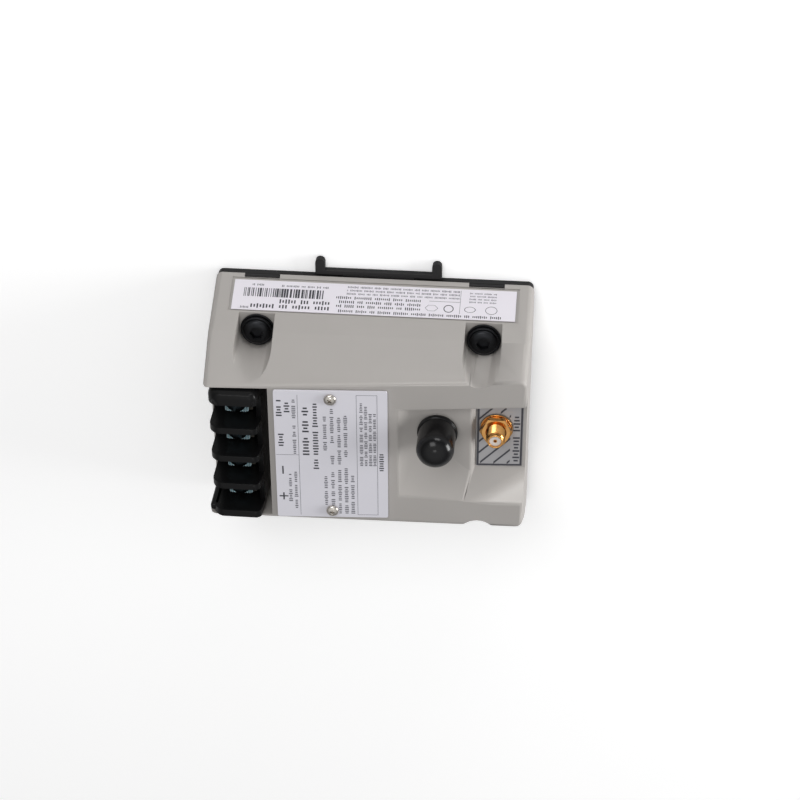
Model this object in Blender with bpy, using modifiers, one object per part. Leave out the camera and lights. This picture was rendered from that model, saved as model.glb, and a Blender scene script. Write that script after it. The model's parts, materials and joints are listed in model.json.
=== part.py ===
"""Two-wire vibration transmitter on a rail-mount base, built as its separate pieces.

Metres, +Z up. The base lies on its back at z = 0 and the terminals and connectors face up.
Pieces are placed from the housing's own mid-planes, and one parent empty carries them all so
that the origin lies at the bottom centre of the whole object's box.
"""

import math

import bmesh
import bpy
from mathutils import Matrix, Vector

# Clearances
GAP = 0.0003
HOLE_CLEARANCE = 0.0003
CUT_MARGIN = 0.002

# Housing, a moulded shell with two sloping faces on each side and a front that falls to +X
HOUSING_LENGTH = 0.1082
REAR_HALF_WIDTH = 0.0463
FOLD_HALF_WIDTH = 0.03666
FOLD_HEIGHT = 0.02475
FRONT_HALF_WIDTH = 0.02785
FRONT_HEIGHT = 0.04057
FRONT_FALL_DEG = 3.5
LOWER_END_DRAFT_DEG = 0.3
UPPER_END_DRAFT_DEG = 2.4
CORNER_RADIUS = 0.0022
FRONT_EDGE_RADIUS = 0.0009
WALL = 0.0025
LABEL_PANEL_DEPTH = 0.0004
LABEL_PANEL_MARGIN = 0.0010

# Mounting screws and the vertical channels that a key reaches them through
SCREW_END_INSET = 0.0160
SCREW_SPACING_Y = 0.0673
CHANNEL_RADIUS = 0.0061
CHANNEL_DRAFT_DEG = 1.2
CHANNEL_FLOOR_HEIGHT = 0.01785
WASHER_RADIUS = 0.0058
WASHER_THICKNESS = 0.0008
SCREW_HEAD_RADIUS = 0.00525
SCREW_HEAD_HEIGHT = 0.0033
SCREW_SHANK_RADIUS = 0.0029
SCREW_SOCKET_WIDTH = 0.0040
SCREW_SOCKET_DEPTH = 0.0021
SCREW_END_HEIGHT = 0.0008

# Base plate with the rail channel
BASE_RIM_HEIGHT = 0.0028
BASE_HALF_WIDTH = 0.0460
RAIL_WIDTH = 0.0350
RAIL_CLEARANCE = 0.0002
RAIL_CHANNEL_DEPTH = 0.0033
STRIP_HEIGHT = 0.0056
STRIP_HALF_WIDTH = 0.0215
HOOK_REACH = 0.0014
HOOK_THICKNESS = 0.0019
HOOK_LENGTH = 0.0240
HOOK_SPACING = 0.0640
SNAP_TAB_LENGTH = 0.0114
SNAP_TAB_THICKNESS = 0.0016
SNAP_TAB_SET_BACK = 0.0001
SNAP_TAB_HEIGHT = 0.0043

# Sprung rail latch
LATCH_CENTRE_X = 0.0013
LATCH_UNDERSIDE = 0.0003
LATCH_TOP = 0.0027
LATCH_STEP_HEIGHT = 0.0015
TONGUE_SET_BACK = 0.0001
NOSE_HEIGHT = 0.0014
TONGUE_WIDTH = 0.0200
TONGUE_FLANGE = 0.0020
CROSSBAR_DEPTH = 0.0017
PRONG_SPACING = 0.0396
PRONG_WIDTH = 0.0033
PRONG_LENGTH = 0.0043
GUIDE_CLEARANCE = 0.0003
LATCH_PAD_HEIGHT = 0.0061
LATCH_PAD_REACH = 0.0405

# Latch spring
SPRING_LENGTH = 0.0100
SPRING_RADIUS = 0.0018
SPRING_WIRE = 0.0004
SPRING_TURNS = 6
SPRING_POINTS_PER_TURN = 12
SPRING_SLOT_START = 0.0235
SPRING_SLOT_WIDTH = 0.0050
POST_DEPTH = 0.0016
POST_WIDTH = 0.0042

# Terminal block and its pocket, open at the -X end
POCKET_FLOOR_HEIGHT = 0.0240
POCKET_WALL = 0.0018
POCKET_INNER_CLEARANCE = 0.00295
POCKET_SIDE_CLEARANCE = 0.0007
BLOCK_END_INSET = 0.0025
BLOCK_LENGTH = 0.0169
FIRST_BARRIER_THICKNESS = 0.0047
LAST_BARRIER_THICKNESS = 0.0026
TROUGH_FLOOR_HEIGHT = 0.0338
BACK_WALL_HEIGHT = 0.0385
BACK_WALL_THICKNESS = 0.0018
FIN_HEIGHT = 0.0461
FIN_THICKNESS = 0.0023
FIN_OUTER_RADIUS = 0.0045
FIN_INNER_RADIUS = 0.0028
FIN_INNER_DROP = 0.0062
FIN_INNER_SWEEP_DEG = 30
END_FIN_ROUNDING = 0.0020
TERMINAL_COUNT = 4
TERMINAL_PITCH = 0.0113
TERMINAL_SET_BACK = 0.0083
TERMINAL_HEAD_RADIUS = 0.0034
TERMINAL_HEAD_HEIGHT = 0.0021
TERMINAL_SHANK_RADIUS = 0.0017
TERMINAL_SHANK_LENGTH = 0.0085
CLAMP_WIDTH = 0.0080
CLAMP_THICKNESS = 0.0008
TAB_THICKNESS = 0.0008
TAB_LENGTH = 0.0120
TAB_PIN_WIDTH = 0.0030

# Name plate over the two adjusters
PLATE_INNER_MARGIN = 0.0031
PLATE_OUTER_MARGIN = 0.00195
PLATE_WIDTH = 0.0515
PLATE_THICKNESS = 0.0008
PLATE_CORNER_RADIUS = 0.0006
PLATE_SCREW_SPACING = 0.0455
PLATE_SCREW_HEAD_RADIUS = 0.0021
PLATE_SCREW_HEAD_HEIGHT = 0.0013
PLATE_SCREW_SHANK_RADIUS = 0.0010
PLATE_SCREW_LENGTH = 0.0060
PLATE_BOSS_RADIUS = 0.0026
PLATE_BOSS_LENGTH = 0.0070
ADJUSTER_SPACING = 0.0180
ADJUSTER_RADIUS = 0.0030
ADJUSTER_HOLE_RADIUS = 0.0022
ADJUSTER_BODY_WIDTH = 0.0095
ADJUSTER_BODY_HEIGHT = 0.0048
ADJUSTER_TOP_DEPTH = 0.0040
ADJUSTER_SLIT_WIDTH = 0.0007
ADJUSTER_SLIT_DEPTH = 0.0008

# Serial label on the +Y side, in a shallow panel
SERIAL_LABEL_END_INSET = 0.0064
SERIAL_LABEL_SHIFT_X = 0.0006
SERIAL_LABEL_START = 0.0057
SERIAL_LABEL_END = 0.0169
LABEL_THICKNESS = 0.0002

# Connector recess, open at the +X end
JACK_SPACING = 0.0195
RECESS_RIM_REACH = 0.0132
RECESS_FLOOR_REACH = 0.0092
RECESS_RIM_HALF_WIDTH = 0.0182
RECESS_FLARE = 0.038
RECESS_FLOOR_DEPTH = 0.0038
RECESS_FOOT_Y = -0.0079
RECESS_TOP_Y = 0.0176
LEDGE_RIM_REACH = 0.0090
LEDGE_FLOOR_REACH = 0.0068
LEDGE_DEPTH = 0.0064
LEDGE_FOOT_Y = -0.0074
CONNECTOR_Y = 0.0076
PROBE_LABEL_END_INSET = 0.0015
PROBE_LABEL_TOP_Y = 0.0165

# Coaxial jacks
SMA_END_INSET = 0.0104
SMA_THREAD_RADIUS = 0.003175
SMA_BORE_RADIUS = 0.0024
SMA_HEIGHT = 0.0091
SMA_NUT_WIDTH = 0.0096
SMA_NUT_HEIGHT = 0.0022
SMA_WASHER_RADIUS = 0.0054
SMA_WASHER_THICKNESS = 0.0006
SMA_FLANGE_RADIUS = 0.0045
SMA_FLANGE_THICKNESS = 0.0015
SMA_TAIL_LENGTH = 0.0040
SMA_PIN_RADIUS = 0.00064
SMA_INSULATOR_RADIUS = 0.0020
BNC_BARREL_RADIUS = 0.0048
BNC_BORE_RADIUS = 0.0040
BNC_HEIGHT = 0.0110
BNC_LUG_RADIUS = 0.0055
BNC_LUG_THICKNESS = 0.0018
BNC_NUT_WIDTH = 0.0127
BNC_NUT_HEIGHT = 0.0022
BNC_TAIL_LENGTH = 0.0045
BNC_SEAT_DEPTH = 0.0077
BNC_LUG_DEPTH = 0.0039
BNC_INSULATOR_HEIGHT = 0.0044
BNC_PIN_DEPTH = 0.0028
BNC_INSULATOR_RADIUS = 0.0030
BNC_PIN_RADIUS = 0.0007
CAP_RADIUS = 0.00633
CAP_WALL = 0.0006
CAP_HEIGHT = 0.0150
CAP_DOME_HEIGHT = 0.0039
CAP_LIP_RADIUS = 0.0068
CAP_LIP_HEIGHT = 0.0016

# Circuit board on four posts
BOARD_TOP_HEIGHT = 0.0208
BOARD_THICKNESS = 0.0016
BOARD_END_CLEARANCE = 0.0036
BOARD_HALF_WIDTH = 0.0235
POST_RADIUS = 0.0028
POST_SET_BACK_LEFT = 0.01305
POST_SET_BACK_RIGHT = 0.0107
POST_OFFSET_Y = 0.0190
BOARD_SCREW_RADIUS = 0.0010
BOARD_SCREW_HEAD_RADIUS = 0.0022
BOARD_SCREW_HEAD_HEIGHT = 0.0015
BOARD_SCREW_LENGTH = 0.0070

ROUND_STEPS = 32
SMALL_ROUND_STEPS = 20
HEX_SIDES = 6

# Shares of a screw head's height and radius that give its crown
CROWN_START = 0.5
CROWN_RIM_HEIGHT = 0.35
CROSS_REACH = 0.6
CROSS_HALF_WIDTH = 0.14
CROSS_DEPTH = 0.35
CROSS_TAPER = 0.6
SMA_CHAMFER = 0.0006

# Values worked out from the sizes above
FRONT_FALL = math.tan(math.radians(FRONT_FALL_DEG))
FRONT_TILT = Matrix.Rotation(math.radians(FRONT_FALL_DEG), 4, "Y")
LOWER_END_TAPER = math.tan(math.radians(LOWER_END_DRAFT_DEG))
UPPER_END_TAPER = math.tan(math.radians(UPPER_END_DRAFT_DEG))
REAR_EDGE_HEIGHT = BASE_RIM_HEIGHT + GAP
LABEL_FACE_RUN = (REAR_HALF_WIDTH - FOLD_HALF_WIDTH) / (FOLD_HEIGHT - BASE_RIM_HEIGHT)
FACET_RUN = (FOLD_HALF_WIDTH - FRONT_HALF_WIDTH) / (FRONT_HEIGHT - FOLD_HEIGHT)
BLANK_TOP = FRONT_HEIGHT + HOUSING_LENGTH * FRONT_FALL
CHANNEL_HALF_WIDTH = RAIL_WIDTH / 2 + RAIL_CLEARANCE
LATCH_TIP_Y = BASE_HALF_WIDTH + 2 * GAP + CROSSBAR_DEPTH + PRONG_LENGTH
MIDDLE_Y = (REAR_HALF_WIDTH - LATCH_TIP_Y) / 2
BOARD_BOTTOM = BOARD_TOP_HEIGHT - BOARD_THICKNESS
HALF_LENGTH = HOUSING_LENGTH / 2
SCREW_SPACING_X = HOUSING_LENGTH - 2 * SCREW_END_INSET
BLOCK_OUTER_X = BLOCK_END_INSET - HALF_LENGTH
BLOCK_INNER_X = BLOCK_OUTER_X + BLOCK_LENGTH
TERMINAL_X = BLOCK_OUTER_X + TERMINAL_SET_BACK
TROUGH_WIDTH = TERMINAL_PITCH - FIN_THICKNESS
BLOCK_WIDTH = (TERMINAL_COUNT * TROUGH_WIDTH + (TERMINAL_COUNT - 1) * FIN_THICKNESS
               + FIRST_BARRIER_THICKNESS + LAST_BARRIER_THICKNESS)
BLOCK_HALF_WIDTH = BLOCK_WIDTH / 2
POCKET_INNER_X = BLOCK_INNER_X + POCKET_INNER_CLEARANCE
POCKET_HALF_WIDTH = BLOCK_HALF_WIDTH + POCKET_SIDE_CLEARANCE
SMA_X = HALF_LENGTH - SMA_END_INSET
BNC_X = SMA_X - JACK_SPACING
RECESS_RIM_X = BNC_X - RECESS_RIM_REACH
RECESS_FLOOR_X = BNC_X - RECESS_FLOOR_REACH
STEP_START_X = SMA_X - LEDGE_RIM_REACH
LEDGE_START_X = SMA_X - LEDGE_FLOOR_REACH
PLATE_START_X = POCKET_INNER_X + PLATE_OUTER_MARGIN
PLATE_LENGTH = RECESS_RIM_X - PLATE_INNER_MARGIN - PLATE_START_X
PLATE_CENTRE_X = PLATE_START_X + PLATE_LENGTH / 2
SERIAL_LABEL_LENGTH = HOUSING_LENGTH - 2 * SERIAL_LABEL_END_INSET
BOARD_HALF_LENGTH = HALF_LENGTH - WALL - BOARD_END_CLEARANCE
POST_PLACES_X = (PLATE_CENTRE_X - POST_SET_BACK_LEFT, SMA_X - POST_SET_BACK_RIGHT)

COLOURS = {
    "housing_grey": ((0.385, 0.365, 0.345), 0.55, 0.0),
    "base_black": ((0.030, 0.029, 0.031), 0.50, 0.0),
    "block_black": ((0.008, 0.008, 0.009), 0.20, 0.0),
    "zinc": ((0.45, 0.55, 0.58), 0.28, 1.0),
    "nickel": ((0.60, 0.58, 0.55), 0.25, 1.0),
    "gold": ((0.80, 0.50, 0.20), 0.25, 1.0),
    "brass": ((0.62, 0.46, 0.20), 0.30, 1.0),
    "black_steel": ((0.012, 0.013, 0.014), 0.35, 1.0),
    "spring_steel": ((0.45, 0.45, 0.46), 0.30, 1.0),
    "plate_white": ((0.64, 0.63, 0.69), 0.45, 0.0),
    "label_white": ((0.64, 0.63, 0.69), 0.50, 0.0),
    "label_grey": ((0.28, 0.28, 0.29), 0.50, 0.0),
    "insulator_white": ((0.80, 0.78, 0.74), 0.35, 0.0),
    "cap_black": ((0.010, 0.010, 0.011), 0.30, 0.0),
    "board_green": ((0.03, 0.16, 0.07), 0.40, 0.0),
    "adjuster_blue": ((0.03, 0.10, 0.42), 0.40, 0.0),
}


def front_z(x):
    """Height of the housing's front plane at a place along its length."""
    return FRONT_HEIGHT - FRONT_FALL * x


def label_face_y(z):
    """Half width of the housing's lower sloping face at a height."""
    return REAR_HALF_WIDTH - LABEL_FACE_RUN * (z - BASE_RIM_HEIGHT)


def screw_places():
    """The four mounting screw axes."""
    half_x = SCREW_SPACING_X / 2
    half_y = SCREW_SPACING_Y / 2
    return [(-half_x, half_y), (half_x, half_y), (-half_x, -half_y), (half_x, -half_y)]


def terminal_ys():
    """The terminal axes, from the +Y end of the block."""
    first = BLOCK_HALF_WIDTH - FIRST_BARRIER_THICKNESS - TROUGH_WIDTH / 2
    return [first - TERMINAL_PITCH * i for i in range(TERMINAL_COUNT)]


def clear_scene():
    """Remove every object that the file starts with."""
    for obj in list(bpy.data.objects):
        bpy.data.objects.remove(obj, do_unlink=True)


def make_collection(name):
    """Add a collection to the scene."""
    collection = bpy.data.collections.new(name)
    bpy.context.scene.collection.children.link(collection)
    return collection


def make_material(name):
    """Make a Principled material from the colour list."""
    colour, roughness, metallic = COLOURS[name]
    material = bpy.data.materials.new(name)
    material.use_nodes = True
    shader = material.node_tree.nodes["Principled BSDF"]
    shader.inputs["Base Color"].default_value = (*colour, 1.0)
    shader.inputs["Roughness"].default_value = roughness
    shader.inputs["Metallic"].default_value = metallic
    return material


class Workshop:
    """Holds the collections, the parent empty and the materials, and makes objects in them."""

    def __init__(self):
        self.parts = make_collection("vibration_transmitter")
        self.cutters = make_collection("cutters")
        self.materials = {name: make_material(name) for name in COLOURS}
        self.centre = bpy.data.objects.new("housing_centre", None)
        self.parts.objects.link(self.centre)
        self.centre.location = (0.0, MIDDLE_Y, 0.0)

    def part(self, name, bm, material, smooth=False):
        """Turn a bmesh into a named piece."""
        obj = self._object(name, bm, self.parts)
        obj.data.materials.append(self.materials[material])
        if smooth:
            obj.data.shade_smooth()
            obj.data.set_sharp_from_angle(angle=math.radians(40))
        return obj

    def cutter(self, name, bm):
        """Turn a bmesh into a hidden cutting shape."""
        obj = self._object(name, bm, self.cutters)
        obj.hide_render = True
        obj.display_type = "WIRE"
        return obj

    def _object(self, name, bm, collection):
        bmesh.ops.recalc_face_normals(bm, faces=bm.faces)
        mesh = bpy.data.meshes.new(name)
        bm.to_mesh(mesh)
        bm.free()
        obj = bpy.data.objects.new(name, mesh)
        collection.objects.link(obj)
        obj.parent = self.centre
        return obj


def combine(obj, other, operation="DIFFERENCE"):
    """Cut, join or intersect an object with another by a Boolean modifier."""
    modifier = obj.modifiers.new(operation.title() + " " + other.name, "BOOLEAN")
    modifier.operation = operation
    modifier.object = other
    modifier.solver = "EXACT"
    return modifier


def box(low, high):
    """A box between two corners."""
    bm = bmesh.new()
    bmesh.ops.create_cube(bm, size=1.0)
    size = Vector(high) - Vector(low)
    bmesh.ops.scale(bm, vec=size, verts=bm.verts)
    bmesh.ops.translate(bm, vec=(Vector(high) + Vector(low)) / 2, verts=bm.verts)
    return bm


def cylinder(x, y, bottom, top, radius, top_radius=None, steps=ROUND_STEPS, turn=0.0):
    """An upright cylinder, cone or prism of a given number of sides."""
    bm = bmesh.new()
    second = radius if top_radius is None else top_radius
    bmesh.ops.create_cone(bm, cap_ends=True, segments=steps, radius1=radius, radius2=second,
                          depth=top - bottom)
    bmesh.ops.rotate(bm, cent=(0, 0, 0), matrix=Matrix.Rotation(turn, 3, "Z"), verts=bm.verts)
    bmesh.ops.translate(bm, vec=(x, y, (top + bottom) / 2), verts=bm.verts)
    return bm


def hexagon(x, y, bottom, top, width, turn=0.0):
    """A hexagonal prism of a given width across flats."""
    return cylinder(x, y, bottom, top, width / math.sqrt(3), steps=HEX_SIDES, turn=turn)


def prism(outline, lift):
    """Extrude a closed flat outline of 3D points by a vector."""
    bm = bmesh.new()
    verts = [bm.verts.new(point) for point in outline]
    face = bm.faces.new(verts)
    grown = bmesh.ops.extrude_face_region(bm, geom=[face])
    moved = [item for item in grown["geom"] if isinstance(item, bmesh.types.BMVert)]
    bmesh.ops.translate(bm, vec=lift, verts=moved)
    return bm


def trim(bm, point, normal):
    """Cut off what lies beyond a plane and close the cut."""
    geom = list(bm.verts) + list(bm.edges) + list(bm.faces)
    result = bmesh.ops.bisect_plane(bm, geom=geom, plane_co=point, plane_no=normal,
                                    clear_outer=True, dist=1e-6)
    edges = [item for item in result["geom_cut"] if isinstance(item, bmesh.types.BMEdge)]
    bmesh.ops.contextual_create(bm, geom=edges)
    return bm


def merge(*pieces):
    """Put separate bmesh solids in one, as loose bodies of one group."""
    joined = bmesh.new()
    for bm in pieces:
        mesh = bpy.data.meshes.new("loose")
        bm.to_mesh(mesh)
        bm.free()
        joined.from_mesh(mesh)
        bpy.data.meshes.remove(mesh)
    return joined


def arc(centre, radius, start_deg, end_deg, steps):
    """Points of an arc in a plane, end points included."""
    points = []
    for i in range(steps + 1):
        angle = math.radians(start_deg + (end_deg - start_deg) * i / steps)
        points.append((centre[0] + radius * math.cos(angle), centre[1] + radius * math.sin(angle)))
    return points


def turned(shop, name, profile, place, material, steps=ROUND_STEPS):
    """A turned piece: a profile of (radius, height) points, closed at the axis, and a Screw."""
    bm = bmesh.new()
    verts = [bm.verts.new((radius, 0.0, height)) for radius, height in profile]
    for first, second in zip(verts, verts[1:]):
        bm.edges.new((first, second))
    if profile[0][0] > 0.0:
        bm.edges.new((verts[-1], verts[0]))
    obj = shop.part(name, bm, material)
    screw = obj.modifiers.new("Turn", "SCREW")
    screw.steps = steps
    screw.render_steps = steps
    screw.use_merge_vertices = True
    screw.merge_threshold = 0.00001
    screw.use_smooth_shade = True
    obj.location = place
    return obj


def housing_blank(inset, bottom):
    """The housing's outer form, or the same form drawn in by a wall."""
    slant = math.hypot(1.0, LABEL_FACE_RUN)
    rear = label_face_y(bottom) - inset * slant
    fold = FOLD_HALF_WIDTH - inset * slant
    top = (FOLD_HALF_WIDTH - FACET_RUN * (BLANK_TOP - FOLD_HEIGHT)
           - inset * math.hypot(1.0, FACET_RUN))
    length = HOUSING_LENGTH
    outline = [(-length, -rear, bottom), (-length, rear, bottom), (-length, fold, FOLD_HEIGHT),
               (-length, top, BLANK_TOP), (-length, -top, BLANK_TOP), (-length, -fold, FOLD_HEIGHT)]
    bm = prism(outline, (2 * length, 0, 0))
    half = HALF_LENGTH - inset
    fold_half = half - LOWER_END_TAPER * (FOLD_HEIGHT - BASE_RIM_HEIGHT)
    for side in (-1, 1):
        trim(bm, (side * half, 0, BASE_RIM_HEIGHT), (side, 0, LOWER_END_TAPER))
        trim(bm, (side * fold_half, 0, FOLD_HEIGHT), (side, 0, UPPER_END_TAPER))
    trim(bm, (0, 0, FRONT_HEIGHT - inset), (FRONT_FALL, 0, 1))
    bmesh.ops.recalc_face_normals(bm, faces=bm.faces)
    return bm


def round_housing(bm):
    """Round the upright corners, then the rim of the front face."""
    corners = []
    for edge in bm.edges:
        normals = [face.normal for face in edge.link_faces]
        ends = [n for n in normals if abs(n.x) > 0.9]
        sides = [n for n in normals if abs(n.y) > 0.4]
        if len(ends) == 1 and len(sides) == 1:
            corners.append(edge)
    bmesh.ops.bevel(bm, geom=corners, offset=CORNER_RADIUS, segments=4, profile=0.5,
                    affect="EDGES", material=-1)
    rim = []
    for edge in bm.edges:
        tops = [face for face in edge.link_faces if face.normal.z > 0.99]
        if len(tops) == 1:
            rim.append(edge)
    bmesh.ops.bevel(bm, geom=rim, offset=FRONT_EDGE_RADIUS, segments=2, profile=0.5,
                    affect="EDGES", material=-1)
    return bm


def channel_solid(x, y, bottom, radius):
    """A key channel: a round wall that leans out a little, open towards the long side."""
    side = math.copysign(1.0, y)
    reach = REAR_HALF_WIDTH * side
    points = arc((x, y), radius, 180, 360, 16) if side > 0 else arc((x, y), radius, 180, 0, 16)
    outline = [(px, py, bottom) for px, py in points]
    outline += [(x + radius, reach, bottom), (x - radius, reach, bottom)]
    height = BLANK_TOP - bottom
    bm = prism(outline, (0, 0, height))
    grow = 1.0 + math.tan(math.radians(CHANNEL_DRAFT_DEG)) * height / radius
    top = [v for v in bm.verts if v.co.z > bottom + height / 2]
    bmesh.ops.scale(bm, vec=(grow, grow, 1.0), verts=top, space=Matrix.Translation((-x, -y, 0)))
    return bm


def pit_section(x_rim, x_floor, depth, foot, inset):
    """Floor and rim corners across a pit, carried on above the front face by the pit's depth."""
    flare = RECESS_FLARE * (x_rim - RECESS_RIM_X)
    half = RECESS_RIM_HALF_WIDTH + flare
    floor = front_z(x_floor) - depth - inset
    rim = front_z(x_rim) + depth
    run = half + foot
    return [Vector((x_floor, foot - flare - inset, floor)),
            Vector((x_floor, RECESS_TOP_Y + flare + inset, floor)),
            Vector((x_rim, half + inset, rim)), Vector((x_rim, -half - run - inset, rim))]


def sloped_pit(start_rim, start_floor, end, depth, foot, inset):
    """A pit in the front face with one sloping long wall, running out at its end."""
    slope_end = start_rim - (start_floor - start_rim)
    near = pit_section(slope_end - inset, start_floor - inset, depth, foot, inset)
    far = pit_section(end + inset, end + inset, depth, foot, inset)
    corner = {(False, False): 0, (True, False): 1, (True, True): 2, (False, True): 3}
    bm = bmesh.new()
    bmesh.ops.create_cube(bm, size=2.0)
    for vert in bm.verts:
        section = near if vert.co.x < 0 else far
        vert.co = section[corner[vert.co.y > 0, vert.co.z > 0]]
    return bm


def recess_solids(inset=0.0):
    """The connector recess: a shallow pit for the first jack and a deeper one for the second."""
    end = HOUSING_LENGTH / 2 + CUT_MARGIN
    first = sloped_pit(RECESS_RIM_X, RECESS_FLOOR_X, end, RECESS_FLOOR_DEPTH, RECESS_FOOT_Y, inset)
    step = STEP_START_X - (LEDGE_START_X - STEP_START_X) * RECESS_FLOOR_DEPTH / LEDGE_DEPTH
    second = sloped_pit(step, LEDGE_START_X, end, LEDGE_DEPTH, LEDGE_FOOT_Y, inset)
    return first, second


def pocket_box(inset):
    """The terminal block's pocket, or the tub around it."""
    return box((-HOUSING_LENGTH, -POCKET_HALF_WIDTH - inset, POCKET_FLOOR_HEIGHT - inset),
               (POCKET_INNER_X + inset, POCKET_HALF_WIDTH + inset, BLANK_TOP))


def make_cavity(shop):
    """The hollow of the housing, less the walls, bosses and posts that stand in it."""
    cavity = shop.cutter("cavity", housing_blank(WALL, -CUT_MARGIN))
    combine(cavity, shop.cutter("pocket_tub", pocket_box(POCKET_WALL)))
    for number, solid in enumerate(recess_solids(WALL), 1):
        combine(cavity, shop.cutter(f"recess_tub_{number}", solid))
    for number, (x, y) in enumerate(screw_places(), 1):
        wall = channel_solid(x, y, CHANNEL_FLOOR_HEIGHT - WALL, CHANNEL_RADIUS + WALL)
        combine(cavity, shop.cutter(f"channel_wall_{number}", wall))
        column = cylinder(x, y, REAR_EDGE_HEIGHT, CHANNEL_FLOOR_HEIGHT,
                          SCREW_SHANK_RADIUS + HOLE_CLEARANCE + WALL * 0.8)
        combine(cavity, shop.cutter(f"screw_column_{number}", column))
    for x in POST_PLACES_X:
        for y in (-POST_OFFSET_Y, POST_OFFSET_Y):
            post = cylinder(x, y, BOARD_TOP_HEIGHT + GAP, BLANK_TOP, POST_RADIUS,
                            steps=SMALL_ROUND_STEPS)
            combine(cavity, shop.cutter(f"board_post_{x:.3f}_{y:.3f}", post))
    for y in (-PLATE_SCREW_SPACING / 2, PLATE_SCREW_SPACING / 2):
        boss = cylinder(PLATE_CENTRE_X, y, front_z(PLATE_CENTRE_X) - PLATE_BOSS_LENGTH, BLANK_TOP,
                        PLATE_BOSS_RADIUS, steps=SMALL_ROUND_STEPS)
        combine(cavity, shop.cutter(f"plate_boss_{y:.3f}", boss))
    return cavity


def make_housing(shop):
    """The grey moulded shell."""
    housing = shop.part("housing", round_housing(housing_blank(0.0, REAR_EDGE_HEIGHT)),
                        "housing_grey")
    combine(housing, make_cavity(shop))
    combine(housing, shop.cutter("pocket", pocket_box(0.0)))
    for number, solid in enumerate(recess_solids(), 1):
        combine(housing, shop.cutter(f"recess_{number}", solid))
    for number, (x, y) in enumerate(screw_places(), 1):
        combine(housing, shop.cutter(f"channel_{number}",
                                     channel_solid(x, y, CHANNEL_FLOOR_HEIGHT, CHANNEL_RADIUS)))
    combine(housing, shop.cutter("small_holes", housing_holes()))
    combine(housing, shop.cutter("rear_notches", rear_notches()))
    combine(housing, shop.cutter("label_panel", label_slab(LABEL_PANEL_MARGIN, LABEL_PANEL_DEPTH,
                                                           CUT_MARGIN)))
    return housing


def housing_holes():
    """Bores for screws, jacks, adjusters and terminal pins."""
    holes = []
    for x, y in screw_places():
        holes.append(cylinder(x, y, 0.0, CHANNEL_FLOOR_HEIGHT + CUT_MARGIN,
                              SCREW_SHANK_RADIUS + HOLE_CLEARANCE, steps=SMALL_ROUND_STEPS))
    for x in POST_PLACES_X:
        for y in (-POST_OFFSET_Y, POST_OFFSET_Y):
            holes.append(cylinder(x, y, BOARD_BOTTOM, BOARD_BOTTOM + BOARD_SCREW_LENGTH,
                                  BOARD_SCREW_RADIUS + HOLE_CLEARANCE, steps=SMALL_ROUND_STEPS))
    for y in (-PLATE_SCREW_SPACING / 2, PLATE_SCREW_SPACING / 2):
        top = front_z(PLATE_CENTRE_X)
        holes.append(cylinder(PLATE_CENTRE_X, y, top - PLATE_SCREW_LENGTH - GAP,
                              top + CUT_MARGIN, PLATE_SCREW_SHANK_RADIUS + HOLE_CLEARANCE,
                              steps=SMALL_ROUND_STEPS))
    for y in (-ADJUSTER_SPACING / 2, ADJUSTER_SPACING / 2):
        top = front_z(PLATE_CENTRE_X)
        holes.append(cylinder(PLATE_CENTRE_X, y, top - 2 * WALL, top + CUT_MARGIN,
                              ADJUSTER_HOLE_RADIUS, steps=SMALL_ROUND_STEPS))
    for x, radius, depth in ((BNC_X, BNC_BARREL_RADIUS, RECESS_FLOOR_DEPTH),
                             (SMA_X, SMA_THREAD_RADIUS, LEDGE_DEPTH)):
        floor = front_z(x) - depth
        holes.append(cylinder(x, CONNECTOR_Y, floor - 2 * WALL, floor + CUT_MARGIN,
                              radius + HOLE_CLEARANCE, steps=SMALL_ROUND_STEPS))
    for y in terminal_ys():
        pin = tab_pin_x()
        half = TAB_PIN_WIDTH / 2 + HOLE_CLEARANCE
        holes.append(box((pin - TAB_THICKNESS / 2 - HOLE_CLEARANCE, y - half,
                          POCKET_FLOOR_HEIGHT - POCKET_WALL - CUT_MARGIN),
                         (pin + TAB_THICKNESS / 2 + HOLE_CLEARANCE, y + half,
                          POCKET_FLOOR_HEIGHT + CUT_MARGIN)))
    return merge(*holes)


def rear_notches():
    """Notches in the rear edge for the snap tabs, and in the end walls for the rail strip."""
    notches = []
    for x in (-SCREW_SPACING_X / 2, SCREW_SPACING_X / 2):
        half = SNAP_TAB_LENGTH / 2 + GAP
        for side in (-1, 1):
            inner = side * (REAR_HALF_WIDTH - SNAP_TAB_THICKNESS - 2 * GAP)
            outer = side * (REAR_HALF_WIDTH + CUT_MARGIN)
            notches.append(box((x - half, min(inner, outer), 0.0),
                               (x + half, max(inner, outer), SNAP_TAB_HEIGHT + GAP)))
    for side in (-1, 1):
        inner = side * (HOUSING_LENGTH / 2 - 2 * WALL)
        outer = side * HOUSING_LENGTH
        notches.append(box((min(inner, outer), -STRIP_HALF_WIDTH - GAP, 0.0),
                           (max(inner, outer), STRIP_HALF_WIDTH + GAP, STRIP_HEIGHT + GAP)))
    return merge(*notches)


def label_slab(margin, below, above):
    """A slab on the +Y lower face, from a depth below the face to a height above it."""
    low = SERIAL_LABEL_START - margin
    high = SERIAL_LABEL_END + margin / 2
    left = SERIAL_LABEL_SHIFT_X - SERIAL_LABEL_LENGTH / 2 - margin
    right = SERIAL_LABEL_SHIFT_X + SERIAL_LABEL_LENGTH / 2 + margin
    outward = Vector((0, 1, LABEL_FACE_RUN)).normalized()
    corners = [Vector((left, label_face_y(low), low)), Vector((right, label_face_y(low), low)),
               Vector((right, label_face_y(high), high)), Vector((left, label_face_y(high), high))]
    outline = [corner - outward * below for corner in corners]
    return prism(outline, outward * (below + above))


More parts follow.
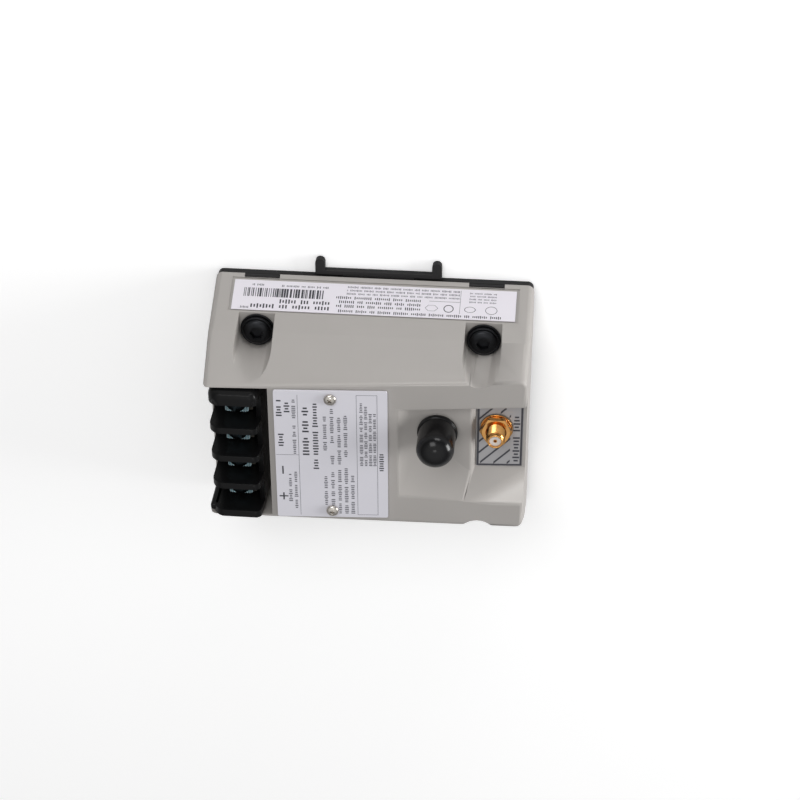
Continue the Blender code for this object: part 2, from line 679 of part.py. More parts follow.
def guide_solid():
    """The latch's guide in the base plate: a T slot with room for the latch and its travel."""
    narrow = TONGUE_WIDTH / 2 + GUIDE_CLEARANCE
    wide = narrow + TONGUE_FLANGE
    step = LATCH_STEP_HEIGHT - GUIDE_CLEARANCE
    top = LATCH_TOP + GUIDE_CLEARANCE
    start = CHANNEL_HALF_WIDTH - GAP
    centre = LATCH_CENTRE_X
    outline = [(centre - narrow, start, -CUT_MARGIN), (centre + narrow, start, -CUT_MARGIN),
               (centre + narrow, start, step), (centre + wide, start, step),
               (centre + wide, start, top), (centre - wide, start, top),
               (centre - wide, start, step), (centre - narrow, start, step)]
    return prism(outline, (0, BASE_HALF_WIDTH, 0))


def post_y():
    """The +Y face of the post that the latch spring pushes against."""
    return SPRING_SLOT_START + SPRING_LENGTH + 2 * GAP + POST_DEPTH


def make_base_plate(shop):
    """The black moulded base with the rail channel, its hooks, the latch guide and the tabs."""
    half = HOUSING_LENGTH / 2 - GAP
    plate_bm = box((-half, -BASE_HALF_WIDTH, 0.0), (half, BASE_HALF_WIDTH, BASE_RIM_HEIGHT))
    upright = [e for e in plate_bm.edges if abs(e.verts[0].co.z - e.verts[1].co.z) > GAP]
    bmesh.ops.bevel(plate_bm, geom=upright, offset=CORNER_RADIUS, segments=4, profile=0.5,
                    affect="EDGES", material=-1)
    plate = shop.part("base_plate", plate_bm, "base_black")
    strip_half = half - LOWER_END_TAPER * STRIP_HEIGHT
    strip = box((-strip_half, -STRIP_HALF_WIDTH, GAP), (strip_half, STRIP_HALF_WIDTH, STRIP_HEIGHT))
    combine(plate, shop.cutter("rail_strip", strip), "UNION")
    pad_half = TONGUE_WIDTH / 2 + 2 * TONGUE_FLANGE
    pad = box((LATCH_CENTRE_X - pad_half, 0.0, GAP),
              (LATCH_CENTRE_X + pad_half, LATCH_PAD_REACH, LATCH_PAD_HEIGHT))
    combine(plate, shop.cutter("latch_pad", pad), "UNION")
    for number, (x, y) in enumerate(screw_places(), 1):
        side = math.copysign(1.0, y)
        outer = side * (BASE_HALF_WIDTH - SNAP_TAB_SET_BACK)
        inner = outer - side * SNAP_TAB_THICKNESS
        tab = box((x - SNAP_TAB_LENGTH / 2, min(inner, outer), GAP),
                  (x + SNAP_TAB_LENGTH / 2, max(inner, outer), SNAP_TAB_HEIGHT))
        combine(plate, shop.cutter(f"snap_tab_{number}", tab), "UNION")
    rail = box((-HOUSING_LENGTH, -CHANNEL_HALF_WIDTH, -CUT_MARGIN),
               (HOUSING_LENGTH, CHANNEL_HALF_WIDTH, RAIL_CHANNEL_DEPTH))
    channel = shop.cutter("rail_channel", rail)
    for number, centre in enumerate((-HOOK_SPACING / 2, HOOK_SPACING / 2), 1):
        hook = box((centre - HOOK_LENGTH / 2, -CHANNEL_HALF_WIDTH - WALL, -2 * CUT_MARGIN),
                   (centre + HOOK_LENGTH / 2, -CHANNEL_HALF_WIDTH + HOOK_REACH, HOOK_THICKNESS))
        combine(channel, shop.cutter(f"fixed_hook_{number}", hook))
    combine(plate, channel)
    combine(plate, shop.cutter("latch_guide", guide_solid()))
    slot_half = SPRING_SLOT_WIDTH / 2
    well = box((LATCH_CENTRE_X - slot_half, SPRING_SLOT_START, LATCH_UNDERSIDE),
               (LATCH_CENTRE_X + slot_half, post_y() + GAP,
                spring_axis_height() + SPRING_RADIUS + SPRING_WIRE + GAP))
    combine(plate, shop.cutter("spring_well", well))
    post = box((LATCH_CENTRE_X - POST_WIDTH / 2, post_y() - POST_DEPTH, LATCH_UNDERSIDE),
               (LATCH_CENTRE_X + POST_WIDTH / 2, post_y(), LATCH_PAD_HEIGHT - GAP))
    combine(plate, shop.cutter("spring_post", post), "UNION")
    holes = [cylinder(x, y, -CUT_MARGIN, STRIP_HEIGHT, SCREW_SHANK_RADIUS + HOLE_CLEARANCE,
                      steps=SMALL_ROUND_STEPS) for x, y in screw_places()]
    combine(plate, shop.cutter("base_holes", merge(*holes)))
    return plate


def spring_axis_height():
    """Height of the latch spring's axis, so that its lowest wire clears the latch's underside."""
    return LATCH_UNDERSIDE + SPRING_RADIUS + SPRING_WIRE


def crossbar_outline():
    """The crossbar and its two round-ended prongs in plan."""
    start = BASE_HALF_WIDTH + 2 * GAP
    end = start + CROSSBAR_DEPTH
    radius = PRONG_WIDTH / 2
    tip = end + PRONG_LENGTH - radius
    outline = [(LATCH_CENTRE_X - PRONG_SPACING / 2 - radius, start),
               (LATCH_CENTRE_X + PRONG_SPACING / 2 + radius, start)]
    outline += arc((LATCH_CENTRE_X + PRONG_SPACING / 2, tip), radius, 0, 180, 8)
    outline += [(LATCH_CENTRE_X + PRONG_SPACING / 2 - radius, end),
                (LATCH_CENTRE_X - PRONG_SPACING / 2 + radius, end)]
    outline += arc((LATCH_CENTRE_X - PRONG_SPACING / 2, tip), radius, 0, 180, 8)
    return [(x, y, LATCH_UNDERSIDE) for x, y in outline]


def make_latch(shop):
    """The sliding latch: a T section tongue with a nose, a crossbar and two round-ended prongs."""
    narrow = TONGUE_WIDTH / 2
    wide = narrow + TONGUE_FLANGE
    low = LATCH_UNDERSIDE + TONGUE_SET_BACK
    top = LATCH_TOP - TONGUE_SET_BACK
    step = LATCH_STEP_HEIGHT
    nose = CHANNEL_HALF_WIDTH - HOOK_REACH
    section = [(-narrow, low), (narrow, low), (narrow, step), (wide, step), (wide, top),
               (-wide, top), (-wide, step), (-narrow, step)]
    outline = [(LATCH_CENTRE_X + x, nose, z) for x, z in section]
    reach = BASE_HALF_WIDTH + 2 * GAP + CROSSBAR_DEPTH / 2 - nose
    latch = shop.part("din_latch", prism(outline, (0, reach, 0)), "base_black")
    head = box((LATCH_CENTRE_X - 2 * wide, 0.0, NOSE_HEIGHT),
               (LATCH_CENTRE_X + 2 * wide, CHANNEL_HALF_WIDTH + 2 * GAP, STRIP_HEIGHT))
    combine(latch, shop.cutter("above_nose", head))
    bar = prism(crossbar_outline(), (0, 0, LATCH_TOP - LATCH_UNDERSIDE))
    combine(latch, shop.cutter("crossbar", bar), "UNION")
    slot_half = SPRING_SLOT_WIDTH / 2
    slot = box((LATCH_CENTRE_X - slot_half, SPRING_SLOT_START, -CUT_MARGIN),
               (LATCH_CENTRE_X + slot_half, post_y() + GAP, STRIP_HEIGHT))
    combine(latch, shop.cutter("spring_slot", slot))
    return latch


def make_latch_spring(shop):
    """The coil spring in the latch's slot, along Y."""
    points = []
    steps = SPRING_TURNS * SPRING_POINTS_PER_TURN
    run = SPRING_LENGTH - SPRING_WIRE * 2
    start = SPRING_SLOT_START + GAP + SPRING_WIRE
    for i in range(steps + 1):
        angle = 2 * math.pi * i / SPRING_POINTS_PER_TURN
        points.append((LATCH_CENTRE_X + SPRING_RADIUS * math.cos(angle),
                       start + run * i / steps,
                       spring_axis_height() + SPRING_RADIUS * math.sin(angle)))
    curve = bpy.data.curves.new("latch_spring", "CURVE")
    curve.dimensions = "3D"
    curve.bevel_depth = SPRING_WIRE
    curve.bevel_resolution = 2
    curve.use_fill_caps = True
    spline = curve.splines.new("POLY")
    spline.points.add(len(points) - 1)
    for point, place in zip(spline.points, points):
        point.co = (*place, 1.0)
    obj = bpy.data.objects.new("latch_spring", curve)
    obj.data.materials.append(shop.materials["spring_steel"])
    shop.parts.objects.link(obj)
    obj.parent = shop.centre
    return obj


def make_mounting_screws(shop):
    """Four button-head screws with washers, at the feet of the key channels."""
    for number, (x, y) in enumerate(screw_places(), 1):
        seat = CHANNEL_FLOOR_HEIGHT + GAP
        inner = SCREW_SHANK_RADIUS + HOLE_CLEARANCE
        turned(shop, f"mounting_washer_{number}",
               [(inner, WASHER_THICKNESS), (WASHER_RADIUS, WASHER_THICKNESS),
                (WASHER_RADIUS, 0.0), (inner, 0.0)],
               (x, y, seat), "black_steel", SMALL_ROUND_STEPS)
        under = seat + WASHER_THICKNESS + GAP
        rim = SCREW_HEAD_HEIGHT * CROWN_RIM_HEIGHT
        inner_radius = SCREW_HEAD_RADIUS * CROWN_START
        crown = arc((inner_radius, rim), SCREW_HEAD_RADIUS - inner_radius, 90, 0, 5)
        squash = (SCREW_HEAD_HEIGHT - rim) / (SCREW_HEAD_RADIUS - inner_radius)
        dome = [(radius, rim + (height - rim) * squash) for radius, height in crown]
        profile = [(0.0, SCREW_HEAD_HEIGHT)] + dome
        profile += [(SCREW_HEAD_RADIUS, 0.0), (SCREW_SHANK_RADIUS, 0.0),
                    (SCREW_SHANK_RADIUS, SCREW_END_HEIGHT - under), (0.0, SCREW_END_HEIGHT - under)]
        screw = turned(shop, f"mounting_screw_{number}", profile, (x, y, under), "black_steel",
                       SMALL_ROUND_STEPS)
        top = under + SCREW_HEAD_HEIGHT
        socket = hexagon(x, y, top - SCREW_SOCKET_DEPTH, top + CUT_MARGIN, SCREW_SOCKET_WIDTH)
        combine(screw, shop.cutter(f"hex_socket_{number}", socket))


def fin_outline(y):
    """One barrier seen from the side: a flat top with a rounded shoulder at each end."""
    outer = BLOCK_OUTER_X + FIN_OUTER_RADIUS
    inner = BLOCK_INNER_X - FIN_INNER_RADIUS
    left = arc((outer, FIN_HEIGHT - FIN_OUTER_RADIUS), FIN_OUTER_RADIUS, 90, 180, 5)
    right = [(BLOCK_INNER_X, FIN_HEIGHT - FIN_INNER_DROP)]
    right += arc((inner, FIN_HEIGHT - FIN_INNER_RADIUS), FIN_INNER_RADIUS, FIN_INNER_SWEEP_DEG, 90, 3)
    foot = TROUGH_FLOOR_HEIGHT - CUT_MARGIN
    points = right + left + [(BLOCK_OUTER_X, foot), (BLOCK_INNER_X, foot)]
    return [(x, y, z) for x, z in points]


def barrier(low, high, rounded_side):
    """A barrier between two places along Y, with the rim of one side rounded at an end barrier."""
    bm = prism(fin_outline(low), (0, high - low, 0))
    if rounded_side:
        place = high if rounded_side > 0 else low
        rim = [e for e in bm.edges if all(abs(v.co.y - place) < GAP for v in e.verts)
               and any(v.co.z > TROUGH_FLOOR_HEIGHT for v in e.verts)]
        bmesh.ops.bevel(bm, geom=rim, offset=END_FIN_ROUNDING, segments=2, profile=0.5,
                        affect="EDGES", material=-1)
    return bm


def make_terminal_block(shop):
    """The glossy four-way barrier block."""
    bottom = POCKET_FLOOR_HEIGHT + GAP
    body = box((BLOCK_OUTER_X, -BLOCK_HALF_WIDTH, bottom),
               (BLOCK_INNER_X, BLOCK_HALF_WIDTH, TROUGH_FLOOR_HEIGHT))
    block = shop.part("terminal_block", body, "block_black", smooth=True)
    wall = box((BLOCK_INNER_X - BACK_WALL_THICKNESS, -BLOCK_HALF_WIDTH + GAP,
                TROUGH_FLOOR_HEIGHT - CUT_MARGIN),
               (BLOCK_INNER_X, BLOCK_HALF_WIDTH - GAP, BACK_WALL_HEIGHT))
    combine(block, shop.cutter("back_wall", wall), "UNION")
    ys = terminal_ys()
    trough = TROUGH_WIDTH
    spans = [(ys[0] + trough / 2, BLOCK_HALF_WIDTH, 1)]
    spans += [(y - trough / 2 - FIN_THICKNESS, y - trough / 2, 0) for y in ys[:-1]]
    spans.append((-BLOCK_HALF_WIDTH, ys[-1] - trough / 2, 0))
    for number, (low, high, rounded_side) in enumerate(spans, 1):
        combine(block, shop.cutter(f"barrier_{number}", barrier(low, high, rounded_side)), "UNION")
    holes = []
    for y in ys:
        holes.append(cylinder(TERMINAL_X, y, tab_bottom() - TERMINAL_SHANK_LENGTH,
                              FIN_HEIGHT, TERMINAL_SHANK_RADIUS + HOLE_CLEARANCE,
                              steps=SMALL_ROUND_STEPS))
        half = TAB_PIN_WIDTH / 2 + HOLE_CLEARANCE
        reach = TAB_THICKNESS / 2 + HOLE_CLEARANCE
        holes.append(box((tab_pin_x() - reach, y - half, bottom - CUT_MARGIN),
                         (tab_pin_x() + reach, y + half, FIN_HEIGHT)))
    combine(block, shop.cutter("terminal_bores", merge(*holes)))
    return block


def tab_pin_x():
    """Place of a terminal tab's upright pin along X."""
    return TERMINAL_X + TAB_LENGTH / 2 - TAB_THICKNESS / 2 - CLAMP_THICKNESS


def tab_bottom():
    """Underside of a terminal tab's flat."""
    return TROUGH_FLOOR_HEIGHT + GAP


def make_terminals(shop):
    """A tab, a clamp plate and a screw for each terminal."""
    bore = TERMINAL_SHANK_RADIUS + HOLE_CLEARANCE
    for number, y in enumerate(terminal_ys(), 1):
        half = CLAMP_WIDTH / 2
        pin = tab_pin_x()
        tab = shop.part(f"terminal_tab_{number}",
                        box((TERMINAL_X - half, y - half, tab_bottom()),
                            (pin + TAB_THICKNESS / 2, y + half, tab_bottom() + TAB_THICKNESS)),
                        "brass")
        leg = box((pin - TAB_THICKNESS / 2, y - TAB_PIN_WIDTH / 2, BOARD_TOP_HEIGHT + GAP),
                  (pin + TAB_THICKNESS / 2, y + TAB_PIN_WIDTH / 2, tab_bottom() + GAP))
        combine(tab, shop.cutter(f"tab_leg_{number}", leg), "UNION")
        clamp_low = tab_bottom() + TAB_THICKNESS + GAP
        clamp = shop.part(f"terminal_clamp_{number}",
                          box((TERMINAL_X - half, y - half, clamp_low),
                              (TERMINAL_X + half, y + half, clamp_low + CLAMP_THICKNESS)), "zinc")
        hole = shop.cutter(f"terminal_hole_{number}",
                           cylinder(TERMINAL_X, y, TROUGH_FLOOR_HEIGHT, FIN_HEIGHT, bore,
                                    steps=SMALL_ROUND_STEPS))
        combine(tab, hole)
        combine(clamp, hole)
        under = clamp_low + CLAMP_THICKNESS + GAP
        edge = TERMINAL_HEAD_HEIGHT * CROWN_RIM_HEIGHT
        low_end = tab_bottom() - TERMINAL_SHANK_LENGTH + GAP - under
        screw = turned(shop, f"terminal_screw_{number}",
                       [(0.0, TERMINAL_HEAD_HEIGHT),
                        (TERMINAL_HEAD_RADIUS * 0.7, TERMINAL_HEAD_HEIGHT * 0.9),
                        (TERMINAL_HEAD_RADIUS, TERMINAL_HEAD_HEIGHT - edge),
                        (TERMINAL_HEAD_RADIUS, 0.0), (TERMINAL_SHANK_RADIUS, 0.0),
                        (TERMINAL_SHANK_RADIUS, low_end), (0.0, low_end)],
                       (TERMINAL_X, y, under), "zinc", SMALL_ROUND_STEPS)
        top = under + TERMINAL_HEAD_HEIGHT
        cross = cross_recess(TERMINAL_X, y, top, TERMINAL_HEAD_RADIUS)
        combine(screw, shop.cutter(f"terminal_recess_{number}", cross))


def cross_recess(x, y, top, head_radius):
    """A cross recess that narrows with depth."""
    reach = head_radius * CROSS_REACH
    width = head_radius * CROSS_HALF_WIDTH
    depth = head_radius * CROSS_DEPTH
    quarter = [(reach, -width), (reach, width), (width, width)]
    outline = []
    for turn in range(4):
        for px, py in quarter:
            for _ in range(turn):
                px, py = -py, px
            outline.append((x + px, y + py, top + GAP))
    bm = prism(outline, (0, 0, -depth - GAP))
    low = [v for v in bm.verts if v.co.z < top - depth / 2]
    bmesh.ops.scale(bm, vec=(CROSS_TAPER, CROSS_TAPER, 1.0), verts=low,
                    space=Matrix.Translation((-x, -y, 0)))
    return bm


def tilt_to_front(obj, x, height):
    """Turn a piece built flat around its own origin onto the front plane at a place."""
    obj.matrix_local = Matrix.Translation((x, 0.0, height)) @ FRONT_TILT
    return obj


def make_name_plate(shop):
    """The plate on the front face, with its screws and the two adjusters under it."""
    half_x = PLATE_LENGTH / 2
    half_y = PLATE_WIDTH / 2
    bm = box((-half_x, -half_y, GAP), (half_x, half_y, GAP + PLATE_THICKNESS))
    upright = [e for e in bm.edges if abs(e.verts[0].co.z - e.verts[1].co.z) > GAP]
    bmesh.ops.bevel(bm, geom=upright, offset=PLATE_CORNER_RADIUS, segments=3, profile=0.5,
                    affect="EDGES", material=-1)
    plate = shop.part("name_plate", bm, "plate_white")
    places = (PLATE_SCREW_SPACING / 2, -PLATE_SCREW_SPACING / 2)
    bore = PLATE_SCREW_SHANK_RADIUS + HOLE_CLEARANCE
    holes = [cylinder(0.0, y, -CUT_MARGIN, CUT_MARGIN, bore, steps=SMALL_ROUND_STEPS)
             for y in places]
    cutter = shop.cutter("plate_holes", merge(*holes))
    combine(plate, cutter)
    level = front_z(PLATE_CENTRE_X)
    tilt_to_front(plate, PLATE_CENTRE_X, level)
    tilt_to_front(cutter, PLATE_CENTRE_X, level)
    for number, y in enumerate(places, 1):
        under = 2 * GAP + PLATE_THICKNESS
        edge = PLATE_SCREW_HEAD_HEIGHT * CROWN_RIM_HEIGHT
        end = -PLATE_SCREW_LENGTH
        screw = turned(shop, f"name_plate_screw_{number}",
                       [(0.0, under + PLATE_SCREW_HEAD_HEIGHT),
                        (PLATE_SCREW_HEAD_RADIUS * 0.6, under + PLATE_SCREW_HEAD_HEIGHT * 0.93),
                        (PLATE_SCREW_HEAD_RADIUS * 0.9, under + edge * 2),
                        (PLATE_SCREW_HEAD_RADIUS, under + edge),
                        (PLATE_SCREW_HEAD_RADIUS, under), (PLATE_SCREW_SHANK_RADIUS, under),
                        (PLATE_SCREW_SHANK_RADIUS, end), (0.0, end)],
                       (0, 0, 0), "nickel", SMALL_ROUND_STEPS)
        upright_screw = Matrix.Translation((PLATE_CENTRE_X, y, level))
        screw.matrix_local = upright_screw
        cross = cross_recess(0.0, 0.0, under + PLATE_SCREW_HEAD_HEIGHT, PLATE_SCREW_HEAD_RADIUS)
        recess = shop.cutter(f"plate_recess_{number}", cross)
        recess.matrix_local = upright_screw
        combine(screw, recess)


def make_adjusters(shop):
    """Zero and span adjusters on the board, under the name plate."""
    for name, y in (("zero_adjuster", ADJUSTER_SPACING / 2), ("span_adjuster", -ADJUSTER_SPACING / 2)):
        half = ADJUSTER_BODY_WIDTH / 2
        bottom = BOARD_TOP_HEIGHT + GAP
        body = box((PLATE_CENTRE_X - half, y - half, bottom),
                   (PLATE_CENTRE_X + half, y + half, bottom + ADJUSTER_BODY_HEIGHT))
        adjuster = shop.part(name, body, "adjuster_blue")
        top = front_z(PLATE_CENTRE_X) - ADJUSTER_TOP_DEPTH
        stem = cylinder(PLATE_CENTRE_X, y, bottom + ADJUSTER_BODY_HEIGHT / 2, top,
                        ADJUSTER_RADIUS, steps=SMALL_ROUND_STEPS)
        combine(adjuster, shop.cutter(name + "_stem", stem), "UNION")
        slit = box((PLATE_CENTRE_X - ADJUSTER_RADIUS, y - ADJUSTER_SLIT_WIDTH / 2,
                    top - ADJUSTER_SLIT_DEPTH),
                   (PLATE_CENTRE_X + ADJUSTER_RADIUS, y + ADJUSTER_SLIT_WIDTH / 2,
                    top + CUT_MARGIN))
        combine(adjuster, shop.cutter(name + "_slit", slit))


def make_labels(shop):
    """The serial label in its panel and the striped label round the small jack."""
    low = -LABEL_PANEL_DEPTH + GAP
    shop.part("serial_label", label_slab(0.0, -low, LABEL_THICKNESS + low), "label_white")
    floor = -LEDGE_DEPTH + GAP
    flare = RECESS_FLARE * (LEDGE_START_X - RECESS_RIM_X)
    end = HALF_LENGTH - PROBE_LABEL_END_INSET
    outline = [(LEDGE_START_X + GAP, LEDGE_FOOT_Y - flare + GAP, floor),
               (end, LEDGE_FOOT_Y - flare + GAP, floor), (end, PROBE_LABEL_TOP_Y, floor),
               (LEDGE_START_X + GAP, PROBE_LABEL_TOP_Y, floor)]
    bm = prism(outline, (0, 0, LABEL_THICKNESS))
    for vert in bm.verts:
        vert.co.z += front_z(vert.co.x)
    label = shop.part("probe_label", bm, "label_grey")
    level = front_z(SMA_X) - LEDGE_DEPTH
    hole = cylinder(SMA_X, CONNECTOR_Y, level - CUT_MARGIN, level + CUT_MARGIN,
                    SMA_WASHER_RADIUS + HOLE_CLEARANCE)
    combine(label, shop.cutter("probe_label_hole", hole))


def ledge_seat(x, radius, depth):
    """Height that clears a sloping floor all round a flat ring of a given radius."""
    return front_z(x - radius) - depth + GAP


def make_sma(shop):
    """The small threaded jack with its washer, nut, insulator and centre contact."""
    place = (SMA_X, CONNECTOR_Y, 0.0)
    seat = ledge_seat(SMA_X, SMA_WASHER_RADIUS, LEDGE_DEPTH)
    level = front_z(SMA_X) - LEDGE_DEPTH
    tip = level + SMA_HEIGHT
    under = front_z(SMA_X + SMA_FLANGE_RADIUS) - LEDGE_DEPTH - WALL - GAP
    tail = under - SMA_FLANGE_THICKNESS - SMA_TAIL_LENGTH
    chamfer = SMA_CHAMFER
    bore = SMA_BORE_RADIUS
    shoulder = SMA_INSULATOR_RADIUS + HOLE_CLEARANCE
    turned(shop, "sma_jack",
           [(bore, tip), (SMA_THREAD_RADIUS - chamfer, tip), (SMA_THREAD_RADIUS, tip - chamfer),
            (SMA_THREAD_RADIUS, under), (SMA_FLANGE_RADIUS, under),
            (SMA_FLANGE_RADIUS, under - SMA_FLANGE_THICKNESS),
            (SMA_THREAD_RADIUS, under - SMA_FLANGE_THICKNESS), (SMA_THREAD_RADIUS, tail),
            (shoulder, tail), (bore, tip - bore)],
           place, "gold", SMALL_ROUND_STEPS)
    inner = SMA_THREAD_RADIUS + HOLE_CLEARANCE
    turned(shop, "sma_washer",
           [(inner, seat + SMA_WASHER_THICKNESS), (SMA_WASHER_RADIUS, seat + SMA_WASHER_THICKNESS),
            (SMA_WASHER_RADIUS, seat), (inner, seat)], place, "gold", SMALL_ROUND_STEPS)
    nut_low = seat + SMA_WASHER_THICKNESS + GAP
    nut = shop.part("sma_nut", hexagon(SMA_X, CONNECTOR_Y, nut_low, nut_low + SMA_NUT_HEIGHT,
                                       SMA_NUT_WIDTH), "gold")
    combine(nut, shop.cutter("sma_nut_bore",
                             cylinder(SMA_X, CONNECTOR_Y, nut_low - CUT_MARGIN,
                                      nut_low + SMA_NUT_HEIGHT + CUT_MARGIN, inner)))
    pin = SMA_PIN_RADIUS
    sleeve = pin + HOLE_CLEARANCE
    turned(shop, "sma_insulator",
           [(sleeve, tip - chamfer), (SMA_INSULATOR_RADIUS, tip - chamfer),
            (SMA_INSULATOR_RADIUS, tail + GAP), (sleeve, tail + GAP)],
           place, "insulator_white", SMALL_ROUND_STEPS)
    turned(shop, "sma_contact",
           [(0.0, tip - pin * 2), (pin, tip - pin), (pin, BOARD_TOP_HEIGHT + GAP),
            (0.0, BOARD_TOP_HEIGHT + GAP)], place, "gold", SMALL_ROUND_STEPS)


def make_bnc(shop):
    """The bayonet jack under its black dust cap."""
    place = (BNC_X, CONNECTOR_Y, 0.0)
    level = front_z(BNC_X) - RECESS_FLOOR_DEPTH
    under = front_z(BNC_X + BNC_LUG_RADIUS) - RECESS_FLOOR_DEPTH - WALL - GAP
    tip = level + BNC_HEIGHT
    tail = under - BNC_NUT_HEIGHT - BNC_TAIL_LENGTH
    bore = BNC_BORE_RADIUS
    shoulder = BNC_INSULATOR_RADIUS + HOLE_CLEARANCE
    seat = tip - BNC_SEAT_DEPTH
    jack = turned(shop, "bnc_jack",
                  [(bore, tip), (BNC_BARREL_RADIUS, tip), (BNC_BARREL_RADIUS, tail),
                   (shoulder, tail), (shoulder, seat), (bore, seat)],
                  place, "nickel", SMALL_ROUND_STEPS)
    lug_z = tip - BNC_LUG_DEPTH
    lug = BNC_LUG_THICKNESS / 2
    for number, side in enumerate((-1, 1), 1):
        inner = side * (BNC_BARREL_RADIUS - CAP_WALL / 2)
        outer = side * BNC_LUG_RADIUS
        peg = box((BNC_X + min(inner, outer), CONNECTOR_Y - lug, lug_z - lug),
                  (BNC_X + max(inner, outer), CONNECTOR_Y + lug, lug_z + lug))
        combine(jack, shop.cutter(f"bayonet_lug_{number}", peg), "UNION")
    nut = shop.part("bnc_nut", hexagon(BNC_X, CONNECTOR_Y, under - BNC_NUT_HEIGHT, under,
                                       BNC_NUT_WIDTH), "nickel")
    combine(nut, shop.cutter("bnc_nut_bore",
                             cylinder(BNC_X, CONNECTOR_Y, under - BNC_NUT_HEIGHT - CUT_MARGIN,
                                      under + CUT_MARGIN, BNC_BARREL_RADIUS + HOLE_CLEARANCE)))
    sleeve = BNC_PIN_RADIUS + HOLE_CLEARANCE
    turned(shop, "bnc_insulator",
           [(sleeve, seat + BNC_INSULATOR_HEIGHT),
            (BNC_INSULATOR_RADIUS, seat + BNC_INSULATOR_HEIGHT),
            (BNC_INSULATOR_RADIUS, tail + GAP), (sleeve, tail + GAP)],
           place, "insulator_white", SMALL_ROUND_STEPS)
    turned(shop, "bnc_contact",
           [(0.0, tip - BNC_PIN_DEPTH + GAP), (BNC_PIN_RADIUS, tip - BNC_PIN_DEPTH),
            (BNC_PIN_RADIUS, BOARD_TOP_HEIGHT + GAP), (0.0, BOARD_TOP_HEIGHT + GAP)],
           place, "gold", SMALL_ROUND_STEPS)
    base = ledge_seat(BNC_X, CAP_LIP_RADIUS, RECESS_FLOOR_DEPTH)
    spring_line = level + CAP_HEIGHT - CAP_DOME_HEIGHT
    dome = [(CAP_RADIUS * math.sin(math.radians(a)),
             spring_line + CAP_DOME_HEIGHT * math.cos(math.radians(a))) for a in range(0, 91, 15)]
    hollow = CAP_RADIUS - CAP_WALL
    roof = spring_line + CAP_WALL
    turned(shop, "bnc_cap",
           dome + [(CAP_RADIUS, base + CAP_LIP_HEIGHT), (CAP_LIP_RADIUS, base + CAP_LIP_HEIGHT),
                   (CAP_LIP_RADIUS, base), (hollow, base), (hollow, roof), (0.0, roof)],
           place, "cap_black", ROUND_STEPS)


def make_board(shop):
    """The circuit board and its four screws."""
    board = shop.part("circuit_board",
                      box((-BOARD_HALF_LENGTH, -BOARD_HALF_WIDTH, BOARD_BOTTOM),
                          (BOARD_HALF_LENGTH, BOARD_HALF_WIDTH, BOARD_TOP_HEIGHT)), "board_green")
    holes = []
    number = 0
    for x in POST_PLACES_X:
        for y in (-POST_OFFSET_Y, POST_OFFSET_Y):
            number += 1
            holes.append(cylinder(x, y, BOARD_BOTTOM - CUT_MARGIN, BOARD_TOP_HEIGHT + CUT_MARGIN,
                                  BOARD_SCREW_RADIUS + HOLE_CLEARANCE, steps=SMALL_ROUND_STEPS))
            head = -GAP - BOARD_SCREW_HEAD_HEIGHT
            turned(shop, f"board_screw_{number}",
                   [(0.0, BOARD_SCREW_LENGTH - GAP), (BOARD_SCREW_RADIUS, BOARD_SCREW_LENGTH - GAP),
                    (BOARD_SCREW_RADIUS, -GAP), (BOARD_SCREW_HEAD_RADIUS, -GAP),
                    (BOARD_SCREW_HEAD_RADIUS, head), (0.0, head)],
                   (x, y, BOARD_BOTTOM), "zinc", SMALL_ROUND_STEPS)
    combine(board, shop.cutter("board_holes", merge(*holes)))


def main():
    """Build every piece."""
    clear_scene()
    shop = Workshop()
    make_housing(shop)
    make_base_plate(shop)
    make_latch(shop)
    make_latch_spring(shop)
    make_mounting_screws(shop)
    make_terminal_block(shop)
    make_terminals(shop)
    make_name_plate(shop)
    make_adjusters(shop)
    make_labels(shop)
    make_sma(shop)
    make_bnc(shop)
    make_board(shop)


main()
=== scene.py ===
"""Looks of a rail-mount vibration transmitter.

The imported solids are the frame. Moulded pieces are refined copies of their solids with rounded
edges, turned pieces are spun again with finer detail, and the printed matter is laid on the labels
as thin ink.
"""

from __future__ import annotations

import json
import logging
import math
import random
from dataclasses import dataclass, field, fields
from enum import Enum
from typing import Callable, Iterable, Mapping, Sequence

import bmesh
import bpy
from mathutils import Matrix, Vector

